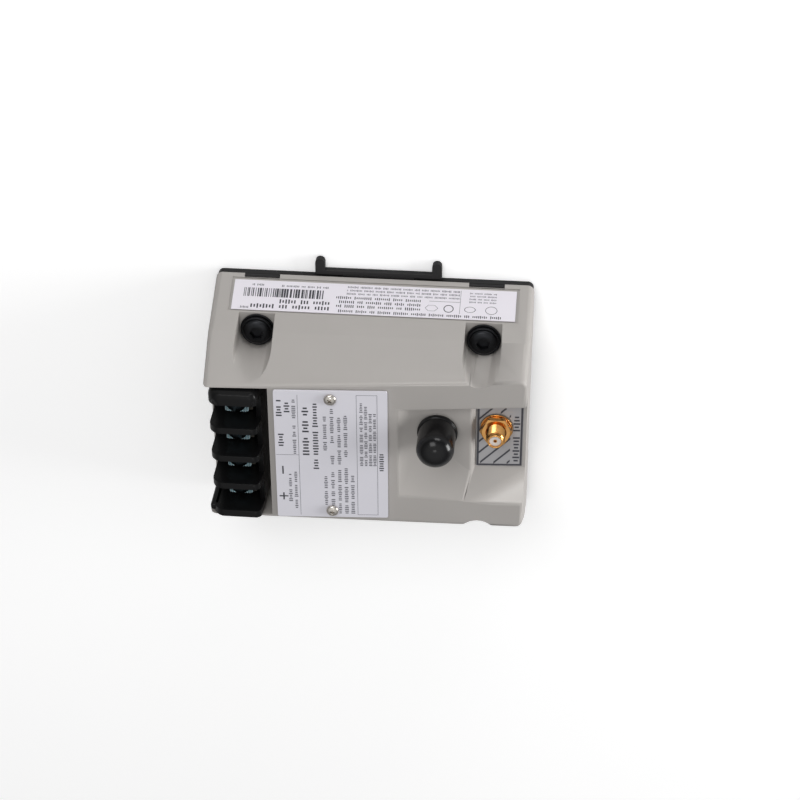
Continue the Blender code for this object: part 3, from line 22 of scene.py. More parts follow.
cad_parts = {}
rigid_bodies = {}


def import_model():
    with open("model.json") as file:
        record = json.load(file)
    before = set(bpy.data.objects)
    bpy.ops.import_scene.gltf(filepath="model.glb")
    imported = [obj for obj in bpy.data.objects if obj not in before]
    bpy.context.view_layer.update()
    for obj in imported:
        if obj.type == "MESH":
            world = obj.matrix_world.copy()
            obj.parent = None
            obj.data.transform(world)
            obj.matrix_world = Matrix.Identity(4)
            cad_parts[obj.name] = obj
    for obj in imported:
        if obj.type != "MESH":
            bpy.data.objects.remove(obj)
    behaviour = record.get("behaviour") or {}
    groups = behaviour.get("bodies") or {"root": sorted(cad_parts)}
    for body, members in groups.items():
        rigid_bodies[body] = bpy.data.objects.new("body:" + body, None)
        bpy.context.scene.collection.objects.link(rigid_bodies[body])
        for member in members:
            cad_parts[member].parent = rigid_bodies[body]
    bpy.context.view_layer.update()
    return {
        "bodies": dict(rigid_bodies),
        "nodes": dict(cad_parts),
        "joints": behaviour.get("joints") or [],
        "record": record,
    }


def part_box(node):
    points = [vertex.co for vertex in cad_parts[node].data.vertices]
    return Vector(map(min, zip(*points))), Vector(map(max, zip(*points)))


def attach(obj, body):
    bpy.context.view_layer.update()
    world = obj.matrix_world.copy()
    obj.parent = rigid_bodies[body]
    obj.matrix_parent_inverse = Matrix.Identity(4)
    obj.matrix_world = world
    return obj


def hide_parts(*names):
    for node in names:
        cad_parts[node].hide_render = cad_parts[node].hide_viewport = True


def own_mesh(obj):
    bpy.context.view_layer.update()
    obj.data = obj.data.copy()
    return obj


LOG = logging.getLogger("vibration_transmitter")
MILLIMETRE = 0.001

Number = "float | Signal"
Point2 = tuple[float, float]


class Body(Enum):
    """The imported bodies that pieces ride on."""

    TRANSMITTER = "transmitter"
    LATCH = "din_latch"


class Signal:
    """A shader socket that takes part in Python sums."""

    def __init__(self, graph: "Graph", socket: bpy.types.NodeSocket) -> None:
        """Wrap a socket.

        Args:
            graph: The material graph that holds the socket.
            socket: An output socket with a value.
        """
        self.graph = graph
        self.socket = socket

    def _math(self, operation: str, first: Number, second: Number) -> "Signal":
        """Add a Math node.

        Args:
            operation: The Math node's operation.
            first: Its first value.
            second: Its second value.

        Returns:
            The node's result.
        """
        node = self.graph.add("ShaderNodeMath", {"operation": operation}, {0: first, 1: second})
        return Signal(self.graph, node.outputs[0])

    def __add__(self, other: Number) -> "Signal":
        """Sum."""
        return self._math("ADD", self, other)

    def __radd__(self, other: Number) -> "Signal":
        """Sum with a plain number first."""
        return self._math("ADD", other, self)

    def __mul__(self, other: Number) -> "Signal":
        """Product."""
        return self._math("MULTIPLY", self, other)

    def __rmul__(self, other: Number) -> "Signal":
        """Product with a plain number first."""
        return self._math("MULTIPLY", other, self)


class Graph:
    """A material's node tree, and the one way in which nodes are added to it."""

    def __init__(self, name: str) -> None:
        """Start a material with a Principled shader.

        Args:
            name: The material's name.
        """
        self.material = bpy.data.materials.new(name)
        self.material.use_nodes = True
        self.tree = self.material.node_tree
        self.shader = self.tree.nodes["Principled BSDF"]

    def add(self, kind: str, settings: Mapping[str, object] | None = None,
            values: Mapping[str | int, object] | None = None) -> bpy.types.Node:
        """Add a node, set it up, and feed its sockets.

        Args:
            kind: The node's type.
            settings: Properties of the node, or "stops" for a ramp.
            values: Socket values or signals, by socket name or number.

        Returns:
            The new node.
        """
        node = self.tree.nodes.new(kind)
        for key, value in (settings or {}).items():
            if key == "stops":
                self.set_stops(node, value)
            else:
                setattr(node, key, value)
        self.feed(node, values or {})
        return node

    def feed(self, node: bpy.types.Node, values: Mapping[str | int, object]) -> None:
        """Set or link a node's sockets.

        Args:
            node: The node to feed.
            values: Socket values or signals, by socket name or number.
        """
        for key, value in values.items():
            if isinstance(value, Signal):
                self.tree.links.new(value.socket, node.inputs[key])
            else:
                node.inputs[key].default_value = value

    @staticmethod
    def set_stops(node: bpy.types.Node, stops: Sequence[tuple[float, Sequence[float]]]) -> None:
        """Give a colour ramp its stops.

        Args:
            node: The ramp.
            stops: Pairs of a place and a colour.
        """
        elements = node.color_ramp.elements
        while len(elements) < len(stops):
            elements.new(1.0)
        for element, (place, colour) in zip(elements, stops):
            element.position = place
            element.color = (*colour, 1.0)

    def surface_point(self) -> Signal:
        """The place on the piece, in metres of the shared frame."""
        node = self.add("ShaderNodeTexCoord")
        return Signal(self, node.outputs["Object"])

    def noise(self, size: float, detail: float = 3.0, stretch: Sequence[float] = (1, 1, 1)) -> Signal:
        """Smooth noise with blotches of about a given size.

        Args:
            size: The blotches' size in metres.
            detail: How many finer octaves ride on it.
            stretch: How much denser the noise is along each axis.

        Returns:
            A value about one half.
        """
        mapped = self.add("ShaderNodeMapping", {}, {"Vector": self.surface_point(),
                                                    "Scale": tuple(stretch)})
        node = self.add("ShaderNodeTexNoise", {"noise_dimensions": "3D"},
                        {"Vector": Signal(self, mapped.outputs[0]), "Scale": 1.0 / size,
                         "Detail": detail})
        return Signal(self, node.outputs[0])

    def blend(self, factor: Number, first: Sequence[float], second: Sequence[float]) -> Signal:
        """Mix two colours.

        Args:
            factor: Zero for the first colour and one for the second.
            first: A colour.
            second: A colour.

        Returns:
            The mixed colour.
        """
        node = self.add("ShaderNodeMix", {"data_type": "RGBA"},
                        {0: factor, 6: (*first, 1.0), 7: (*second, 1.0)})
        return Signal(self, node.outputs[2])

    def bump(self, height: Signal, depth: float) -> Signal:
        """Turn a height into a bump.

        Args:
            height: The height, from zero to one.
            depth: How deep a full step is, in metres.

        Returns:
            A normal.
        """
        node = self.add("ShaderNodeBump", {}, {"Height": height, "Distance": depth,
                                               "Strength": 1.0})
        return Signal(self, node.outputs[0])


def shade(colour: Sequence[float], share: float) -> tuple[float, float, float]:
    """A colour made lighter or darker by a share of itself.

    Args:
        colour: A linear colour.
        share: The share, above zero for lighter.

    Returns:
        The changed colour.
    """
    return tuple(min(1.0, channel * (1.0 + share)) for channel in colour)


@dataclass(frozen=True)
class MouldedPlastic:
    """Plastic moulded in a spark-eroded tool."""

    name: str
    colour: tuple[float, float, float]
    roughness: float = 0.5
    grain: float = 0.35 * MILLIMETRE
    grain_depth: float = 0.012 * MILLIMETRE
    mottle: float = 0.03
    specular: float = 0.5

    def make(self) -> bpy.types.Material:
        """Make the material."""
        graph = Graph(self.name)
        clouds = graph.noise(14 * MILLIMETRE, 4.0)
        fine = graph.noise(self.grain, 2.0)
        graph.feed(graph.shader, {
            "Base Color": graph.blend(clouds, shade(self.colour, -self.mottle),
                                      shade(self.colour, self.mottle)),
            "Roughness": self.roughness - 0.06 + 0.12 * (clouds * 0.5 + fine * 0.5),
            "Normal": graph.bump(fine, self.grain_depth),
            "Specular IOR Level": self.specular,
        })
        return graph.material


@dataclass(frozen=True)
class PlatedMetal:
    """Plated or bare metal with fine lines from the machine."""

    name: str
    colour: tuple[float, float, float]
    roughness: float = 0.25
    tarnish: tuple[float, float, float] | None = None
    scratch: float = 0.004 * MILLIMETRE

    def make(self) -> bpy.types.Material:
        """Make the material."""
        graph = Graph(self.name)
        clouds = graph.noise(2.2 * MILLIMETRE, 3.0)
        lines = graph.noise(0.5 * MILLIMETRE, 2.0, (1, 1, 14))
        second = self.tarnish or shade(self.colour, -0.18)
        graph.feed(graph.shader, {
            "Base Color": graph.blend(clouds, self.colour, second),
            "Roughness": self.roughness - 0.05 + 0.14 * clouds,
            "Metallic": 1.0,
            "Normal": graph.bump(lines, self.scratch),
        })
        return graph.material


@dataclass(frozen=True)
class PrintedFilm:
    """Smooth printed stock with a faint orange peel."""

    name: str
    colour: tuple[float, float, float]
    roughness: float = 0.38

    def make(self) -> bpy.types.Material:
        """Make the material."""
        graph = Graph(self.name)
        clouds = graph.noise(9 * MILLIMETRE, 2.0)
        peel = graph.noise(0.8 * MILLIMETRE, 1.0)
        graph.feed(graph.shader, {
            "Base Color": graph.blend(clouds, shade(self.colour, -0.02), shade(self.colour, 0.02)),
            "Roughness": self.roughness + 0.08 * clouds,
            "Normal": graph.bump(peel, 0.003 * MILLIMETRE),
        })
        return graph.material


@dataclass(frozen=True)
class Palette:
    """Every finish on the object."""

    housing: MouldedPlastic = MouldedPlastic("moulded_grey", (0.385, 0.365, 0.347), 0.52)
    base: MouldedPlastic = MouldedPlastic("satin_black", (0.013, 0.0125, 0.013), 0.48, specular=0.30)
    block: MouldedPlastic = MouldedPlastic("glossy_black", (0.005, 0.005, 0.0053), 0.30,
                                           grain_depth=0.004 * MILLIMETRE, specular=0.16)
    cap: MouldedPlastic = MouldedPlastic("soft_cap_black", (0.0035, 0.0035, 0.004), 0.20,
                                         grain=1.2 * MILLIMETRE, grain_depth=0.006 * MILLIMETRE,
                                         specular=0.30)
    insulator: MouldedPlastic = MouldedPlastic("waxy_white", (0.80, 0.76, 0.73), 0.35,
                                               grain_depth=0.002 * MILLIMETRE)
    board: MouldedPlastic = MouldedPlastic("board_green", (0.03, 0.16, 0.07), 0.35)
    adjuster: MouldedPlastic = MouldedPlastic("adjuster_blue", (0.03, 0.10, 0.42), 0.4)
    gold: PlatedMetal = PlatedMetal("gold_plate", (0.88, 0.50, 0.18), 0.18, (0.62, 0.29, 0.08))
    brass: PlatedMetal = PlatedMetal("dulled_brass", (0.16, 0.15, 0.13), 0.45)
    nickel: PlatedMetal = PlatedMetal("nickel_plate", (0.66, 0.62, 0.57), 0.22)
    # Partly the blue zinc plate's own tint, partly painted reflection: brighter and more cyan than the
    # plating, standing in for a bright bluish reflection in the troughs.
    zinc: PlatedMetal = PlatedMetal("blue_zinc_and_painted_reflection", (0.80, 0.96, 0.98), 0.13, (0.50, 0.74, 0.84))
    # Painted shade: a darker copy of the clamps' zinc for the binding screws, standing in for the
    # shade under the barriers.
    screw_zinc: PlatedMetal = PlatedMetal("painted_shade_zinc", (0.13, 0.17, 0.19), 0.24,
                                          (0.05, 0.07, 0.085))
    black_steel: PlatedMetal = PlatedMetal("black_oxide", (0.030, 0.031, 0.034), 0.36)
    spring: PlatedMetal = PlatedMetal("spring_wire", (0.45, 0.45, 0.46), 0.28)
    plate: PrintedFilm = PrintedFilm("name_plate_stock", (0.70, 0.69, 0.745))
    serial: PrintedFilm = PrintedFilm("serial_label_stock", (0.76, 0.73, 0.785))
    probe: PrintedFilm = PrintedFilm("probe_label_stock", (0.36, 0.355, 0.365))
    ink: PrintedFilm = PrintedFilm("printing_ink", (0.045, 0.045, 0.055), 0.5)
    pale_ink: PrintedFilm = PrintedFilm("fine_print_ink", (0.10, 0.10, 0.12), 0.5)


@dataclass(frozen=True)
class Extent:
    """A node's box at rest."""

    low: Vector
    high: Vector

    @classmethod
    def of(cls, node: str) -> "Extent":
        """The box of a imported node."""
        low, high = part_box(node)
        return cls(Vector(low), Vector(high))

    @property
    def centre(self) -> Vector:
        """The middle of the box."""
        return (self.low + self.high) / 2

    @property
    def size(self) -> Vector:
        """The box's edge lengths."""
        return self.high - self.low

    @property
    def upright(self) -> Matrix:
        """A shift from the frame's Z axis to the box's own."""
        return Matrix.Translation((self.centre.x, self.centre.y, 0))


@dataclass(frozen=True)
class Sheet:
    """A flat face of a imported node, with two directions on it."""

    origin: Vector
    along: Vector
    across: Vector
    normal: Vector

    @classmethod
    def facing(cls, node: bpy.types.Object, toward: Vector, along: Vector) -> "Sheet":
        """The face of a node that looks a given way.

        Args:
            node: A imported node's object.
            toward: The way that the face looks, roughly.
            along: The first direction on the face, roughly.

        Returns:
            The face, with its origin at the middle of its corners' box.
        """
        faces = [p for p in node.data.polygons if p.normal.dot(toward) > 0.8]
        widest = max(faces, key=lambda p: p.area)
        normal = widest.normal.copy()
        level = max((node.data.vertices[i].co.dot(normal) for p in faces for i in p.vertices))
        first = (along - normal * along.dot(normal)).normalized()
        second = normal.cross(first).normalized()
        points = [node.data.vertices[i].co for p in faces for i in p.vertices]
        spans = []
        for axis in (first, second):
            values = [point.dot(axis) for point in points]
            spans.append((min(values) + max(values)) / 2)
        origin = first * spans[0] + second * spans[1] + normal * level
        return cls(origin, first, second, normal)

    def matrix(self, u: float, v: float, lift: float = 0.0) -> Matrix:
        """A placement on the sheet.

        Args:
            u: The place along.
            v: The place across.
            lift: The height above the sheet.

        Returns:
            A matrix whose axes are along, across and the normal.
        """
        turn = Matrix((self.along, self.across, self.normal)).transposed().to_4x4()
        place = self.origin + self.along * u + self.across * v + self.normal * lift
        return Matrix.Translation(place) @ turn


class Bench:
    """Makes finished pieces and registers them with the frame."""

    def __init__(self, frame: Mapping[str, object], palette: Palette) -> None:
        """Make every finish once.

        Args:
            palette: The finishes.
        """
        self.nodes: Mapping[str, bpy.types.Object] = frame["nodes"]
        self.materials: dict[str, bpy.types.Material] = {}
        for choice in fields(palette):
            self.materials[choice.name] = getattr(palette, choice.name).make()
        self.count = 0

    def dress(self, node: str, finish: str) -> None:
        """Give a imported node's own object a finish.

        Args:
            node: The node's name.
            finish: The finish's name in the palette.
        """
        slots = self.nodes[node].data.materials
        if not slots:
            slots.append(self.materials[finish])
        for index in range(len(slots)):
            slots[index] = self.materials[finish]
        self.nodes[node].data.shade_smooth()
        self.nodes[node].data.set_sharp_from_angle(angle=math.radians(35))
        LOG.info("%s keeps its solid", node)

    def place(self, name: str, bm: bmesh.types.BMesh, finish: str, slot: str,
              replaces: Sequence[str] = (), body: Body = Body.TRANSMITTER,
              sharp_deg: float = 40.0, weighted: bool = True) -> bpy.types.Object:
        """Finish a mesh and register it.

        Args:
            name: The piece's name.
            bm: Its mesh, which is used up.
            finish: The finish's name in the palette.
            slot: The record's material slot, which is not used.
            replaces: The nodes that it stands for.
            body: The body that it rides on.
            sharp_deg: Edges sharper than this stay sharp.
            weighted: Whether broad faces lead the shading.

        Returns:
            The piece.
        """
        mesh = bpy.data.meshes.new(name)
        bm.edges.index_update()
        folds = [edge.index for edge in bm.edges if not edge.smooth]
        bm.to_mesh(mesh)
        bm.free()
        mesh.materials.append(self.materials[finish])
        mesh.shade_smooth()
        mesh.set_sharp_from_angle(angle=math.radians(sharp_deg))
        for index in folds:
            mesh.edges[index].use_edge_sharp = True
        piece = bpy.data.objects.new(name, mesh)
        bpy.context.scene.collection.objects.link(piece)
        if weighted:
            modifier = piece.modifiers.new("Weighted normals", "WEIGHTED_NORMAL")
            modifier.keep_sharp = True
            modifier.weight = 60
        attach(piece, body.value)
        if replaces:
            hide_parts(*replaces)
        self.count += 1
        LOG.info("%s has %d faces", name, len(mesh.polygons))
        return piece

    def copied(self, node: str) -> bmesh.types.BMesh:
        """A copy of a node's mesh with its loose triangles sewn together."""
        bm = bmesh.new()
        bm.from_mesh(self.nodes[node].data)
        bmesh.ops.remove_doubles(bm, verts=bm.verts, dist=0.002 * MILLIMETRE)
        return bm

    def merged(self, node: str) -> bmesh.types.BMesh:
        """A copy of a node's mesh with its triangles joined into flat faces."""
        bm = self.copied(node)
        bmesh.ops.dissolve_limit(bm, angle_limit=math.radians(0.6), verts=bm.verts, edges=bm.edges)
        return bm


def soften(bm: bmesh.types.BMesh, radius: float, segments: int,
           chosen: Callable[[bmesh.types.BMEdge, float], bool]) -> int:
    """Round the edges that a test picks.

    Args:
        bm: The mesh.
        radius: The rounding.
        segments: How many faces go round an edge.
        chosen: Takes an edge and its signed angle in degrees, and says whether it is rounded.

    Returns:
        How many edges were rounded.
    """
    edges = []
    for edge in bm.edges:
        if edge.is_manifold and chosen(edge, math.degrees(edge.calc_face_angle_signed(0.0))):
            edges.append(edge)
    bmesh.ops.bevel(bm, geom=edges, offset=radius, segments=segments, profile=0.5, affect="EDGES",
                    material=-1, clamp_overlap=False)
    return len(edges)


def spun(profile: Sequence[Point2], steps: int = 64) -> bmesh.types.BMesh:
    """Spin a profile into a closed turned piece about Z.

    Args:
        profile: Points of radius and height. It closes on the axis, or on itself where its
            first point is off the axis.
        steps: How many faces go round.

    Returns:
        The turned mesh.
    """
    bm = bmesh.new()
    verts = [bm.verts.new((radius, 0.0, height)) for radius, height in profile]
    edges = [bm.edges.new(pair) for pair in zip(verts, verts[1:])]
    if profile[0][0] > 1e-7:
        edges.append(bm.edges.new((verts[-1], verts[0])))
    bmesh.ops.spin(bm, geom=verts + edges, cent=(0, 0, 0), axis=(0, 0, 1), angle=2 * math.pi,
                   steps=steps, use_merge=True)
    bmesh.ops.remove_doubles(bm, verts=bm.verts, dist=1e-7)
    bmesh.ops.recalc_face_normals(bm, faces=bm.faces)
    return bm


def rounded(corner: Point2, start: Point2, end: Point2, radius: float,
            steps: int = 4) -> list[Point2]:
    """Points that round a profile's corner.

    Args:
        corner: The sharp corner.
        start: The profile's point before it.
        end: The profile's point after it.
        radius: The set-back from the corner along both sides.
        steps: How many segments the rounding has.

    Returns:
        The rounding's points, in order.
    """
    here = Vector(corner)
    first = here + (Vector(start) - here).normalized() * radius
    last = here + (Vector(end) - here).normalized() * radius
    points = []
    for i in range(steps + 1):
        t = i / steps
        spot = first * (1 - t) ** 2 + here * 2 * t * (1 - t) + last * t ** 2
        points.append((spot.x, spot.y))
    return points


def rounded_profile(points: Sequence[Point2], radii: Mapping[int, float],
                    steps: int = 4) -> list[Point2]:
    """Round chosen corners of a profile.

    Args:
        points: The sharp profile.
        radii: The rounding of each corner that has one, by its number.
        steps: How many segments each rounding has.

    Returns:
        The profile with its roundings.
    """
    result: list[Point2] = []
    for number, point in enumerate(points):
        if number in radii:
            result += rounded(point, points[number - 1], points[(number + 1) % len(points)],
                              radii[number], steps)
        else:
            result.append(point)
    return result


def hoop(bore: float, radius: float, low: float, high: float,
         radii: Mapping[int, float] | None = None, steps: int = 4,
         around: int = 64) -> bmesh.types.BMesh:
    """Spin a flat ring about Z.

    Args:
        bore: Its inner radius.
        radius: Its outer radius.
        low: Its bottom.
        high: Its top.
        radii: The rounding of its corners: inner top, outer top, outer bottom, inner bottom.
        steps: How many segments each rounding has.
        around: How many faces go round.

    Returns:
        The ring.
    """
    corners = [(bore, high), (radius, high), (radius, low), (bore, low)]
    return spun(rounded_profile(corners, radii or {}, steps), around)


def moved(bm: bmesh.types.BMesh, matrix: Matrix) -> bmesh.types.BMesh:
    """Place a mesh by a matrix, and return it."""
    bmesh.ops.transform(bm, matrix=matrix, verts=bm.verts)
    return bm


def joined(pieces: Iterable[bmesh.types.BMesh]) -> bmesh.types.BMesh:
    """Put meshes into one, and free them.

    Args:
        pieces: The meshes.

    Returns:
        The one mesh.
    """
    whole = bmesh.new()
    for bm in pieces:
        mesh = bpy.data.meshes.new("passing")
        bm.to_mesh(mesh)
        bm.free()
        whole.from_mesh(mesh)
        bpy.data.meshes.remove(mesh)
    return whole


def carved(bm: bmesh.types.BMesh, cutters: Sequence[bmesh.types.BMesh]) -> bmesh.types.BMesh:
    """Cut shapes out of a mesh.

    Args:
        bm: The mesh, which is used up.
        cutters: The cutting shapes, which are used up.

    Returns:
        The cut mesh.
    """
    def temporary(source: bmesh.types.BMesh) -> bpy.types.Object:
        """Link an object that lasts until the cut is made."""
        mesh = bpy.data.meshes.new("passing")
        source.to_mesh(mesh)
        source.free()
        obj = bpy.data.objects.new("passing", mesh)
        bpy.context.scene.collection.objects.link(obj)
        return obj

    target = temporary(bm)
    tools = [temporary(cutter) for cutter in cutters]
    for tool in tools:
        modifier = target.modifiers.new("Cut", "BOOLEAN")
        modifier.object = tool
        modifier.solver = "EXACT"
    depsgraph = bpy.context.evaluated_depsgraph_get()
    evaluated = target.evaluated_get(depsgraph)
    result = bmesh.new()
    result.from_mesh(evaluated.to_mesh())
    evaluated.to_mesh_clear()
    for obj in [target, *tools]:
        mesh = obj.data
        bpy.data.objects.remove(obj)
        bpy.data.meshes.remove(mesh)
    return result


def polygon_prism(radius: float, sides: int, low: float, high: float,
                  turn: float = 0.0) -> bmesh.types.BMesh:
    """An upright prism with a regular outline.

    Args:
        radius: The outline's corner radius.
        sides: How many sides it has.
        low: The bottom.
        high: The top.
        turn: A turn about Z in radians.

    Returns:
        The prism.
    """
    bm = bmesh.new()
    bmesh.ops.create_cone(bm, cap_ends=True, segments=sides, radius1=radius, radius2=radius,
                          depth=high - low)
    return moved(bm, Matrix.Translation((0, 0, (low + high) / 2)) @ Matrix.Rotation(turn, 4, "Z"))


def cross_cutter(reach: float, width: float, top: float, depth: float) -> list[bmesh.types.BMesh]:
    """Two tapered bars that cut a cross recess.

    Args:
        reach: Half the cross's length at the top.
        width: Half a bar's width.
        top: The height of the screw's crown.
        depth: How deep the recess goes.

    Returns:
        The two bars.
    """
    bars = []
    for turn in (0.0, math.pi / 2):
        bm = bmesh.new()
        bmesh.ops.create_cube(bm, size=2.0)
        bmesh.ops.scale(bm, vec=(reach, width, depth), verts=bm.verts)
        low = [v for v in bm.verts if v.co.z < 0]
        bmesh.ops.scale(bm, vec=(0.35, 0.6, 1.0), verts=low)
        bars.append(moved(bm, Matrix.Translation((0, 0, top)) @ Matrix.Rotation(turn, 4, "Z")))
    return bars


@dataclass
class Moulding:
    """The housing, base plate, terminal block and latch: rounded copies of their solids."""

    bench: Bench
    recess_rim: float = 0.75 * MILLIMETRE
    rim_shortest: float = 3.0 * MILLIMETRE
    rim_angle: float = 30.0
    edge_angle: float = 28.0
    fold_angles: Point2 = (3.0, 8.0)
    fold_shortest: float = 4.0 * MILLIMETRE
    block_edge: float = 0.28 * MILLIMETRE
    small_edge: float = 0.20 * MILLIMETRE
    cheek_reach: float = 1.5 * MILLIMETRE
    cheek_width: float = 2.6 * MILLIMETRE
    cheek_height: float = 13.0 * MILLIMETRE
    cheek_drop: float = 3.2 * MILLIMETRE
    cheek_depth_inside: float = 2.0 * MILLIMETRE
    cheek_edge: float = 0.9 * MILLIMETRE
    shortest: float = 1.6 * MILLIMETRE

    def build(self) -> None:
        """Make the four moulded pieces."""
        self.housing()
        self.terminal_block()
        for node, name, body in (("base_plate", "base_moulding", Body.TRANSMITTER),
                                 ("din_latch", "rail_latch", Body.LATCH)):
            bm = self.bench.merged(node)
            soften(bm, self.small_edge, 2, self.is_edge)
            self.bench.place(name, bm, "base", "base_black", [node], body)

    def is_edge(self, edge: bmesh.types.BMEdge, angle: float) -> bool:
        """Whether an outer edge is sharp and long enough to be rounded."""
        return angle > self.edge_angle and edge.calc_length() > self.shortest

    def housing(self) -> None:
        """The shell, with soft rims at the jack recess and crisp folds along its sides."""
        bm = self.bench.merged("housing")
        jack = Extent.of("bnc_cap")
        floor = Extent.of("probe_label")
        rim_low = Vector((jack.low.x - 10 * MILLIMETRE, floor.low.y - 14 * MILLIMETRE,
                          floor.low.z - MILLIMETRE))
        rim_high = Vector((floor.high.x - 6 * MILLIMETRE, floor.high.y + 5 * MILLIMETRE, 1.0))

        def rim(edge: bmesh.types.BMEdge, angle: float) -> bool:
            """Whether an edge is a long rim of the jack recess."""
            middle = (edge.verts[0].co + edge.verts[1].co) / 2
            near = all(rim_low[i] < middle[i] < rim_high[i] for i in range(3))
            return near and angle > self.rim_angle and edge.calc_length() > self.rim_shortest

        LOG.info("%d recess rims rounded", soften(bm, self.recess_rim, 4, rim))
        least, most = self.fold_angles
        for edge in bm.edges:
            along = abs(edge.verts[0].co.x - edge.verts[1].co.x)
            if edge.is_manifold and along > self.fold_shortest:
                if least < math.degrees(edge.calc_face_angle(0.0)) < most:
                    edge.smooth = False
        self.bench.place("housing_shell", bm, "housing", "housing_grey", ["housing"], sharp_deg=27)

    def terminal_block(self) -> None:
        """The barrier block, whose last barrier reaches to the housing's end."""
        bm = self.bench.merged("terminal_block")
        box = Extent.of("terminal_block")
        soften(bm, self.block_edge, 3, self.is_edge)
        cheek = bmesh.new()
        bmesh.ops.create_cube(cheek, size=1.0)
        depth = self.cheek_reach + self.cheek_depth_inside
        bmesh.ops.scale(cheek, vec=(depth, self.cheek_width, self.cheek_height), verts=cheek.verts)
        soften(cheek, self.cheek_edge, 4, lambda edge, angle: True)
        top = box.high.z - self.cheek_drop
        moved(cheek, Matrix.Translation((box.low.x - self.cheek_reach + depth / 2,
                                         box.low.y + self.cheek_width / 2,
                                         top - self.cheek_height / 2)))
        bm = joined([bm, cheek])
        self.bench.place("terminal_moulding", bm, "block", "block_black", ["terminal_block"])


@dataclass
class Fasteners:
    """The screws that show: mounting, name plate and terminal."""

    bench: Bench
    hex_width: float = 4.0 * MILLIMETRE
    socket_depth: float = 1.9 * MILLIMETRE
    button_height: float = 3.3 * MILLIMETRE
    button_rise: float = 2.3 * MILLIMETRE
    edge: float = 0.25 * MILLIMETRE
    lifted: float = 0.9 * MILLIMETRE
    lifted_sink: float = 0.65
    crown_flat: float = 0.46
    crown_round: float = 0.42
    crown_drop: float = 0.56
    ring_foot: float = 0.89
    ring_top: float = 0.95
    ring_depth: float = 0.12 * MILLIMETRE
    flange_edge: float = 0.22 * MILLIMETRE
    mounting_shank: float = 2.9 * MILLIMETRE
    washer_bore: float = 3.2 * MILLIMETRE
    washer_edge: float = 0.15 * MILLIMETRE
    binding_height: float = 2.1 * MILLIMETRE
    binding_shank: float = 1.7 * MILLIMETRE
    pan_height: float = 1.3 * MILLIMETRE
    pan_shank: float = 1.0 * MILLIMETRE
    groove_spacing: float = 0.85 * MILLIMETRE
    groove_radius: float = 0.22 * MILLIMETRE
    clamp_bore: float = 2.0 * MILLIMETRE
    clamp_corner: float = 0.7 * MILLIMETRE

    def build(self) -> None:
        """Make every screw, washer and clamp plate."""
        for number in range(1, 5):
            self.mounting_screw(number)
            self.mounting_washer(number)
            self.terminal_screw(number)
            self.terminal_clamp(number)
        for number in (1, 2):
            self.plate_screw(number)

    def mounting_screw(self, number: int) -> None:
        """A button head with a hex socket.

        Args:
            number: Which screw.
        """
        name = f"mounting_screw_{number}"
        box = Extent.of(name)
        radius = box.size.x / 2
        base = box.high.z - self.button_height
        top = base + self.button_rise
        crown = []
        for i in range(9):
            angle = math.radians(90 - 90 * i / 8)
            crown.append((radius * (self.crown_flat + self.crown_round * math.cos(angle)),
                          top - self.button_rise * self.crown_drop * (1 - math.sin(angle))))
        shelf = crown[-1][1]
        crown += [(radius * self.ring_foot, shelf - self.ring_depth), (radius * self.ring_top, shelf)]
        crown += rounded((radius, shelf), (radius * self.ring_top, shelf), (radius, base),
                         self.flange_edge)
        profile = [(0.0, top)] + crown
        profile += rounded((radius, base), (radius, top), (0.0, base), self.washer_edge)
        profile += self.shank(self.mounting_shank, base, box)
        socket = polygon_prism(self.hex_width / math.sqrt(3), 6, top - self.socket_depth,
                               top + MILLIMETRE, math.radians(90 + 8 * number))
        lead = polygon_prism(self.hex_width * 0.60, 48, top - self.edge, top + MILLIMETRE)
        drill = spun([(0.0, top), (self.hex_width * 0.48, top),
                      (self.hex_width * 0.48, top - self.socket_depth),
                      (0.0, top - self.socket_depth - 0.6 * MILLIMETRE)], 32)
        bm = carved(spun(profile), [socket, lead, drill])
        self.bench.place(f"button_screw_{number}", moved(bm, box.upright), "black_steel",
                         "black_steel", [name])

    @staticmethod
    def shank(radius: float, base: float, box: Extent) -> list[Point2]:
        """The plain shank's profile, from under a head to the foot of its box."""
        return [(radius, base), (radius, box.low.z), (0.0, box.low.z)]

    def mounting_washer(self, number: int) -> None:
        """A flat washer with softened rims.

        Args:
            number: Which washer.
        """
        name = f"mounting_washer_{number}"
        box = Extent.of(name)
        radii = dict.fromkeys(range(4), self.washer_edge)
        bm = hoop(self.washer_bore, box.size.x / 2, box.low.z, box.high.z, radii, 2)
        moved(bm, box.upright)
        self.bench.place(f"flat_washer_{number}", bm, "black_steel", "black_steel", [name])

    def terminal_screw(self, number: int) -> None:
        """A binding head with a cross recess and a slot.

        Args:
            number: Which terminal.
        """
        name = f"terminal_screw_{number}"
        box = Extent.of(name)
        radius = box.size.x / 2
        top = box.high.z
        base = top - self.binding_height
        crown = [(0.0, top), (radius * 0.55, top - 0.10 * MILLIMETRE),
                 (radius * 0.85, top - 0.45 * MILLIMETRE), (radius, top - 0.85 * MILLIMETRE)]
        profile = rounded_profile(crown + [(radius, base)] + self.shank(self.binding_shank, base, box),
                                  {3: 0.2 * MILLIMETRE, 4: 0.15 * MILLIMETRE})
        cutters = cross_cutter(radius * 0.62, radius * 0.13, top, 1.2 * MILLIMETRE)
        slot = bmesh.new()
        bmesh.ops.create_cube(slot, size=2.0)
        bmesh.ops.scale(slot, vec=(radius * 1.2, radius * 0.11, 0.8 * MILLIMETRE), verts=slot.verts)
        cutters.append(moved(slot, Matrix.Translation((0, 0, top))))
        bm = carved(spun(profile), cutters)
        moved(bm, box.upright @ Matrix.Rotation(math.radians(35 + 41 * number), 4, "Z"))
        # The screws take the darker zinc copy, which is painted shade under the barriers.
        self.bench.place(f"binding_screw_{number}", bm, "screw_zinc", "zinc", [name])

